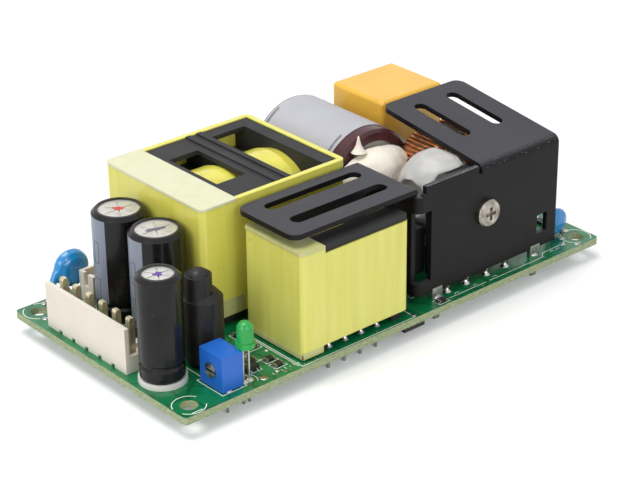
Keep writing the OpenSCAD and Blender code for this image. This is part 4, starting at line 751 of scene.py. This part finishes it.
def sheared_edge():
    """Bare metal burr along the heatsink wall's sheared top, and flecks where the sheet folds back."""
    front = span_of("heatsink")[0][1]
    burr = Shape()
    steps = 90
    for i in range(steps):
        x0 = WALL_TOP_X + WALL_TOP_L * i / steps
        x1 = WALL_TOP_X + WALL_TOP_L * (i + 0.92) / steps
        wide = 0.16 + 0.3 * abs(noise.noise(Vector((x0 * 0.9, 3, 1)))) + 0.16 * rng.random()
        if rng.random() < 0.16:
            continue
        burr.box((x0, front + 0.03, WALL_TOP - 0.012), (x1, front + 0.03 + wide, WALL_TOP + 0.012))
    piece("sheared_burr", burr, BARE_EDGE, smooth=10)
    flecks = Shape()
    for _ in range(34):
        x = rng.uniform(21.6, 40.8)
        angle = math.radians(rng.choice((20, 28, 55, 62)) + rng.uniform(-2, 2))
        r = FOLD_R + 0.004
        y, z = front + FOLD_R - r * math.cos(angle), FOLD_AXIS_Z + r * math.sin(angle)
        half = rng.uniform(0.1, 0.55)
        flecks.tube([(x - half, y, z), (x, y, z), (x + half, y, z)], [0.012, 0.035, 0.012], 6)
    piece("fold_flecks", flecks, BARE_EDGE, smooth=60)


def orange_leg():
    """Sleeving over the second leg of the disc capacitor in the far left corner."""
    low, high = [b for b in islands("disc_capacitor_leads") if b[0][0] < 0][-1]
    sleeve = Shape()
    sleeve.tube([(low[0] + 0.35, low[1] + 0.35, BOARD_TOP + 0.6),
                 (low[0] + 0.4, low[1] + 0.4, BOARD_TOP + 1.2),
                 (high[0] - 0.9, high[1] - 0.8, high[2] - 1.2)], 0.62, 14)
    piece("leg_sleeve", sleeve, ORANGE, smooth=80)


# ---------- choke windings ----------

def winding(name, node, centre, middle_angle):
    """One continuous copper wire wound tightly round the ring core, in two layers inside the bore."""
    core_low, core_high = span_of("choke_core")
    ring_r = (core_high[2] - core_low[2]) / 2
    half_w = (core_high[1] - core_low[1]) / 2
    wire, clear = 0.74, 0.08
    turns, sweep = 34, 158
    core = np.array([v.co for v in NODES["choke_core"].data.vertices]) / MM - centre
    bore_r = float(np.min(np.hypot(core[:, 0], core[:, 2])))
    wrap = []
    outer, inner = ring_r + clear + wire / 2, bore_r - clear - wire / 2
    steps = 44
    for i in range(turns * steps + 1):
        u = i / steps
        angle = math.radians(middle_angle - sweep / 2 + sweep * u / turns)
        layer = int(u) % 2
        deep = inner - layer * wire * 1.02
        phase = (u % 1.0) * 2 * math.pi
        # Rounded rectangle between the outside and the bore, wider than deep
        mid_r, reach_r = (outer + deep) / 2, (outer - deep) / 2
        reach_y = half_w + clear + wire / 2
        c, s = math.cos(phase), math.sin(phase)
        squash = (abs(c) ** 7 + abs(s) ** 7) ** (-1 / 7)
        r = mid_r + reach_r * c * squash
        y = reach_y * s * squash
        wobble = 0.035 * math.sin(3.1 * u + 1.3 * layer)
        wrap.append((centre[0] + r * math.cos(angle + wobble / outer), centre[1] + y,
                     centre[2] + r * math.sin(angle)))
    shape = Shape()
    shape.tube(wrap, wire / 2, 8)
    piece(name, shape, COPPER, smooth=80, instead_of=(node,))


def choke():
    """Both windings and the wire ends that run down from them to the leads."""
    low, high = span_of("choke_core")
    centre = (low + high) / 2
    winding("choke_wire_left", "choke_winding_left", centre, 180)
    winding("choke_wire_right", "choke_winding_right", centre, 0)
    ends = Shape()
    for low_l, high_l in islands("choke_leads"):
        foot = (low_l + high_l) / 2
        side = 1 if foot[0] > centre[0] else -1
        front = 1 if foot[1] > centre[1] else -1
        top = high_l[2]
        a = math.radians(-58 if side > 0 else -122)
        ring = (high[2] - low[2]) / 2 + 0.4
        path = [(foot[0], foot[1], top - 1.6), (foot[0], foot[1], top - 0.5),
                (foot[0] * 0.985 + centre[0] * 0.015, foot[1] + front * 0.35, top + 0.3)]
        for wide, out, deep in ((1.02, 4.02, 0.9), (0.98, 3.98, 0.8)):
            path.append((centre[0] + ring * math.cos(a) * wide, centre[1] + front * out,
                         centre[2] + ring * math.sin(a) * deep))
        ends.tube(path, 0.37, 10)
    piece("choke_wire_ends", ends, COPPER, smooth=80)


# ---------- soft and lumpy pieces ----------

def lumpy(name, node, material, voxel_mm, depth_mm, lump_mm, seed, reshape=None, rounds=14):
    """Soft blob: the CAD solid remeshed, smoothed, sagged by reshape and pushed about by noise."""
    low, high = span_of(node)
    source = bpy.data.objects.new(name + "_source", NODES[node].data.copy())
    bpy.context.scene.collection.objects.link(source)
    remesh = source.modifiers.new("voxels", "REMESH")
    remesh.mode = "VOXEL"
    remesh.voxel_size = voxel_mm * MM
    smooth = source.modifiers.new("smooth", "SMOOTH")
    smooth.iterations = rounds
    bpy.context.view_layer.update()
    mesh = bpy.data.meshes.new_from_object(source.evaluated_get(bpy.context.evaluated_depsgraph_get()))
    bpy.data.objects.remove(source)
    co = np.array([v.co for v in mesh.vertices])
    normals = np.array([v.normal for v in mesh.vertices])
    offset = Vector((seed, -seed, 2 * seed))
    for i, v in enumerate(mesh.vertices):
        p = Vector(co[i] / MM)
        push = noise.noise(p / lump_mm + offset) + 0.4 * noise.noise(p / (lump_mm * 0.4) + offset)
        move = depth_mm * (push - 0.35)
        moved = p + Vector(normals[i]) * move
        v.co = (Vector(reshape(moved, low, high)) if reshape else moved) * MM
    for poly in mesh.polygons:
        poly.use_smooth = True
    mesh.materials.clear()
    mesh.materials.append(material)
    obj = bpy.data.objects.new(name, mesh)
    bpy.context.scene.collection.objects.link(obj)
    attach(obj, "root")
    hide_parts(node)
    return obj


LEAN_CEILING = span_of("heatsink")[1][2] - 3.75  # under the tilted flange
LEAN_OPEN_X = 18.4  # left of this the corner bead is clear of the flange


def sag_bulk(p, low, high):
    """The bead on the bulk capacitor's end sits low and spreads to the left."""
    up = max(0.0, (p.z - low[2]) / (high[2] - low[2]))
    left = max(0.0, (high[0] - p.x) / (high[0] - low[0]))
    return p.x - 3.4 * left * (1 - 0.5 * up) * up, p.y, p.z - 2.0 * up * up


def lean_corner(p, low, high):
    """The bead in the heatsink's corner leans right, under the flange that lies over it."""
    up = max(0.0, (p.z - low[2]) / (high[2] - low[2]))
    left = max(0.0, ((low[0] + high[0]) / 2 - p.x) / (high[0] - low[0]))
    ceiling = LEAN_CEILING + (1.0 if p.x < LEAN_OPEN_X else 0.0)
    return p.x + 1.4 * up * up - 1.0 * left * (1 - up), p.y, min(p.z, ceiling)


def silicone_extras():
    """Pulled peak of the bead, and the loop of pale sleeving beside the choke."""
    peak = Shape()
    root = np.array([10.1, -0.6, 23.4])
    tip = np.array([10.2, -0.4, 26.6])
    line = [root + (tip - root) * t for t in (0, 0.2, 0.45, 0.7, 0.9, 1.0)]
    peak.tube(line, [1.5, 0.95, 0.55, 0.32, 0.2, 0.08], 16)
    piece("bead_peak", peak, SILICONE, smooth=80)
    loop = Shape()
    centre, ring = np.array([17.2, -9.3, 21.8]), 0.62
    loop.tube([centre + ring * np.array([math.cos(a) * 0.75, 0.25 * math.cos(a), math.sin(a)])
               for a in np.linspace(0, 2 * math.pi, 24, endpoint=False)], 0.26, 10, closed=True)
    piece("pale_loop", loop, SILICONE, smooth=80)


# ---------- transformer coil and tape ends ----------

def small_coil():
    """Taped coil of the small transformer, squarer and higher than the plain ring."""
    low, high = span_of("small_transformer_coil")
    mid = (low + high) / 2
    across, tall, power = 6.4, 9.0, 2 / 2.6
    rows = []
    for y, swell in ((low[1], 0.92), (low[1] + 0.5, 0.98), (mid[1], 1.0), (high[1] - 0.5, 0.98),
                     (high[1], 0.92)):
        rows.append([(mid[0] + across * swell * math.copysign(abs(math.cos(a)) ** power, math.cos(a)), y,
                      mid[2] + tall * swell * math.copysign(abs(math.sin(a)) ** power, math.sin(a)))
                     for a in np.linspace(0, 2 * math.pi, 96, endpoint=False)])
    coil = Shape()
    coil.grid(rows)
    piece("small_coil_tape", coil, COIL_TAPE, smooth=60, instead_of=("small_transformer_coil",))


def tape_folds():
    """Pale doubled tape low on both transformers, where the wraps are turned under."""
    fold = Shape()
    out = 0.04  # how far the fold stands off the wraps
    low, high = span_of("small_transformer_tape")
    fold.box((low[0] - out, low[1] - out, low[2]), (low[0] + 4.6, low[1] + 0.2, low[2] + 1.25), 0.03)
    fold.box((low[0] - out, low[1] - out, low[2]), (low[0] + 0.2, high[1], low[2] + 1.0), 0.03)
    low, high = span_of("large_transformer_tape")
    fold.box((low[0] + 1.5, low[1] - out, low[2]), (low[0] + 9.0, low[1] + 0.2, low[2] + 3.4), 0.03)
    piece("tape_turned_under", fold, TAPE_FOLD, smooth=40)


# ---------- capacitor print, vents and marks ----------

STRIPE_FACE, STRIPE_WIDTH = 166, 74  # middle and width of the polarity stripe in degrees


def ring_band(shape, centre, radii, heights, start, sweep, steps):
    """Thin upright band round a can, from one radius to another."""
    (r0, r1), (z0, z1) = radii, heights
    shape.revolve([(r0, z0), (r1, z0), (r1, z1), (r0, z1)], (centre[0], centre[1], 0), steps, start, sweep)


def can_marks():
    """Pale stripe with outlined bars on both output capacitors. Returns every can's top: x, y, z, radius."""
    stripes, bars, tops = Shape(), Shape(), []
    for node, striped in (("output_capacitor_sleeves", True), ("small_capacitor_sleeve", False)):
        for low, high in islands(node):
            centre, r = (low + high) / 2, (high[0] - low[0]) / 2
            tops.append((centre[0], centre[1], high[2], r))
            if not striped:
                continue
            z0, z1 = low[2] + 3.5, high[2] - 0.75
            ring_band(stripes, centre, (r + 0.005, r + 0.02), (z0, z1), STRIPE_FACE - STRIPE_WIDTH / 2,
                      STRIPE_WIDTH, 24)
            for base in (high[2] - 9.6, high[2] - 20.4):
                base = max(base, z0 + 0.2)
                for a0, a1, b0, b1 in ((-8, 8, 0, 0.18), (-8, 8, 4.2, 4.38), (-8, -6, 0, 4.38),
                                       (6, 8, 0, 4.38)):
                    ring_band(bars, centre, (r + 0.018, r + 0.03), (base + b0, base + b1),
                              STRIPE_FACE + 9 + a0, a1 - a0, 6)
    piece("polarity_stripes", stripes, STRIPE)
    piece("polarity_bars", bars, STRIPE_DARK)
    return tops


def marker_dabs(tops):
    """Inspector's pen marks on the bare tops: a wedge, a slanted bar and a small scribble."""
    shades = {"red": linear(206, 62, 54), "grey": linear(104, 96, 112), "violet": linear(96, 62, 150)}
    inks = [plastic(f"pen_{shade}", c, 0.45, 0.2, 0.4, 0.01, 0.01).material for shade, c in shades.items()]
    wedge = [(-0.30, 0.12), (0.02, 0.20), (0.24, 0.10), (0.12, -0.02), (-0.08, -0.12)]
    bar = [(-0.42, -0.02), (-0.30, 0.10), (0.34, 0.16), (0.42, 0.08), (0.30, -0.04), (-0.34, -0.12)]
    blot = [(0.2 * math.cos(a) * (1 + 0.3 * math.sin(3 * a)),
             0.2 * math.sin(a) * (1 + 0.25 * math.cos(5 * a)))
            for a in np.linspace(0, 2 * math.pi, 26, endpoint=False)]
    order = sorted(range(len(tops)), key=lambda i: -tops[i][1])
    for k, (i, points, ink) in enumerate(zip(order, (wedge, bar, blot), inks)):
        x, y, z, r = tops[i]
        turn = math.radians(-42 + 18 * k)
        c, s = math.cos(turn), math.sin(turn)
        plan = [(x + 0.95 * r * (px * c - py * s), y + 0.95 * r * (px * s + py * c)) for px, py in points]
        dab = Shape()
        dab.grid([[(px, py, z - 0.30) for px, py in plan], [(px, py, z - 0.27) for px, py in plan]])
        piece(f"pen_mark_{k}", dab, ink)


# ---------- bulk capacitor label ----------

def bulk_label_lines():
    """Thin border lines near both ends of the plain label."""
    low, high = span_of("bulk_capacitor_label")
    centre, r = (low + high) / 2, (high[0] - low[0]) / 2
    lines = Shape()
    for y0 in (low[1] + 0.75, high[1] - 0.95):
        lines.revolve([(r - 0.01, y0), (r + 0.006, y0), (r + 0.006, y0 + 0.2), (r - 0.01, y0 + 0.2)],
                      (centre[0], 0, centre[2]), 96, 25, 310, axis="Y")
    piece("label_lines", lines, LABEL_LINE)


legend()
pads()
chip_ends()
vias()
front_joints()
sheared_edge()
solder_cones()
choke()
lumpy("bulk_bead", "bulk_silicone", SILICONE, 0.32, 0.3, 4.5, 3.1, sag_bulk)
lumpy("corner_bead", "corner_silicone", GREY_SILICONE, 0.32, 0.2, 6.0, 8.4, lean_corner)
lumpy("disc_bodies", "disc_capacitors", BLUE_COAT, 0.2, 0.1, 2.0, 1.7, rounds=9)
silicone_extras()
small_coil()
tape_folds()
orange_leg()
marker_dabs(can_marks())
bulk_label_lines()


# ---------- camera, light and floor ----------

def studio():
    """Camera at the photograph's angle, three soft lamps, a white surround and a pale floor."""
    scene = bpy.context.scene
    azimuth, elevation = math.radians(-41.95), math.radians(27.36)
    level_part = math.cos(elevation)
    back = Vector((math.sin(azimuth) * level_part, -math.cos(azimuth) * level_part, math.sin(elevation)))
    right = Vector((math.cos(azimuth), math.sin(azimuth), 0))
    up = back.cross(right)
    camera = bpy.data.objects.new("camera", bpy.data.cameras.new("camera"))
    scene.collection.objects.link(camera)
    turn = Matrix((right, up, back)).transposed().to_4x4()
    camera.matrix_world = Matrix.Translation((back * 385.8 + right * 8.14 + up * 1.7) * MM) @ turn
    camera.data.sensor_width = 36
    camera.data.lens = 114.71625
    camera.data.shift_x = -0.0625
    camera.data.shift_y = 0.046875
    camera.data.clip_start = 0.01
    scene.camera = camera

    def lamp(name, place, target, size, power):
        light = bpy.data.lights.new(name, "AREA")
        light.energy, light.shape, light.size = power, "DISK", size
        obj = bpy.data.objects.new(name, light)
        obj.location = place
        obj.rotation_euler = (Vector(target) - Vector(place)).to_track_quat("-Z", "Y").to_euler()
        scene.collection.objects.link(obj)

    lamp("softbox_top", (-0.12, 0.10, 0.62), (0, 0, 0.01), 0.42, 2.5)
    lamp("softbox_left", (-0.55, -0.12, 0.30), (0, 0, 0.01), 0.34, 1.15)
    lamp("softbox_front", (-0.04, -0.62, 0.28), (0, 0, 0.01), 0.40, 1.15)

    world = bpy.data.worlds.new("world")
    world.use_nodes = True
    scene.world = world
    tree = world.node_tree
    paths = tree.nodes.new("ShaderNodeLightPath")
    seen = paths.outputs["Is Camera Ray"]
    for other in ("Is Glossy Ray", "Is Transmission Ray"):
        top = tree.nodes.new("ShaderNodeMath")
        top.operation = "MAXIMUM"
        tree.links.new(seen, top.inputs[0])
        tree.links.new(paths.outputs[other], top.inputs[1])
        seen = top.outputs[0]
    level = tree.nodes.new("ShaderNodeMapRange")
    level.inputs["To Min"].default_value = 0.5
    level.inputs["To Max"].default_value = 1.0
    tree.links.new(seen, level.inputs["Value"])
    background = tree.nodes["Background"]
    background.inputs["Color"].default_value = (1, 1, 1, 1)
    tree.links.new(level.outputs["Result"], background.inputs["Strength"])

    floor_mesh = bpy.data.meshes.new("floor")
    floor_z = cad_bounds[0][2]
    reach = 4.0
    floor_mesh.from_pydata([(-reach, -reach, floor_z), (reach, -reach, floor_z), (reach, reach, floor_z),
                            (-reach, reach, floor_z)], [], [(0, 1, 2, 3)])
    floor = bpy.data.objects.new("floor", floor_mesh)
    scene.collection.objects.link(floor)
    paper = bpy.data.materials.new("floor_paper")
    paper.use_nodes = True
    tree = paper.node_tree
    shader = tree.nodes["Principled BSDF"]
    shader.inputs["Base Color"].default_value = (0.82, 0.82, 0.82, 1)
    shader.inputs["Roughness"].default_value = 0.9
    glow = tree.nodes.new("ShaderNodeEmission")
    paths = tree.nodes.new("ShaderNodeLightPath")
    share = tree.nodes.new("ShaderNodeMath")
    share.operation = "MULTIPLY"
    share.inputs[1].default_value = 0.2
    tree.links.new(paths.outputs["Is Camera Ray"], share.inputs[0])
    tree.links.new(share.outputs[0], glow.inputs["Strength"])
    both = tree.nodes.new("ShaderNodeAddShader")
    tree.links.new(shader.outputs[0], both.inputs[0])
    tree.links.new(glow.outputs[0], both.inputs[1])
    tree.links.new(both.outputs[0], tree.nodes["Material Output"].inputs["Surface"])
    floor_mesh.materials.append(paper)
    scene.view_settings.view_transform = "Standard"


studio()
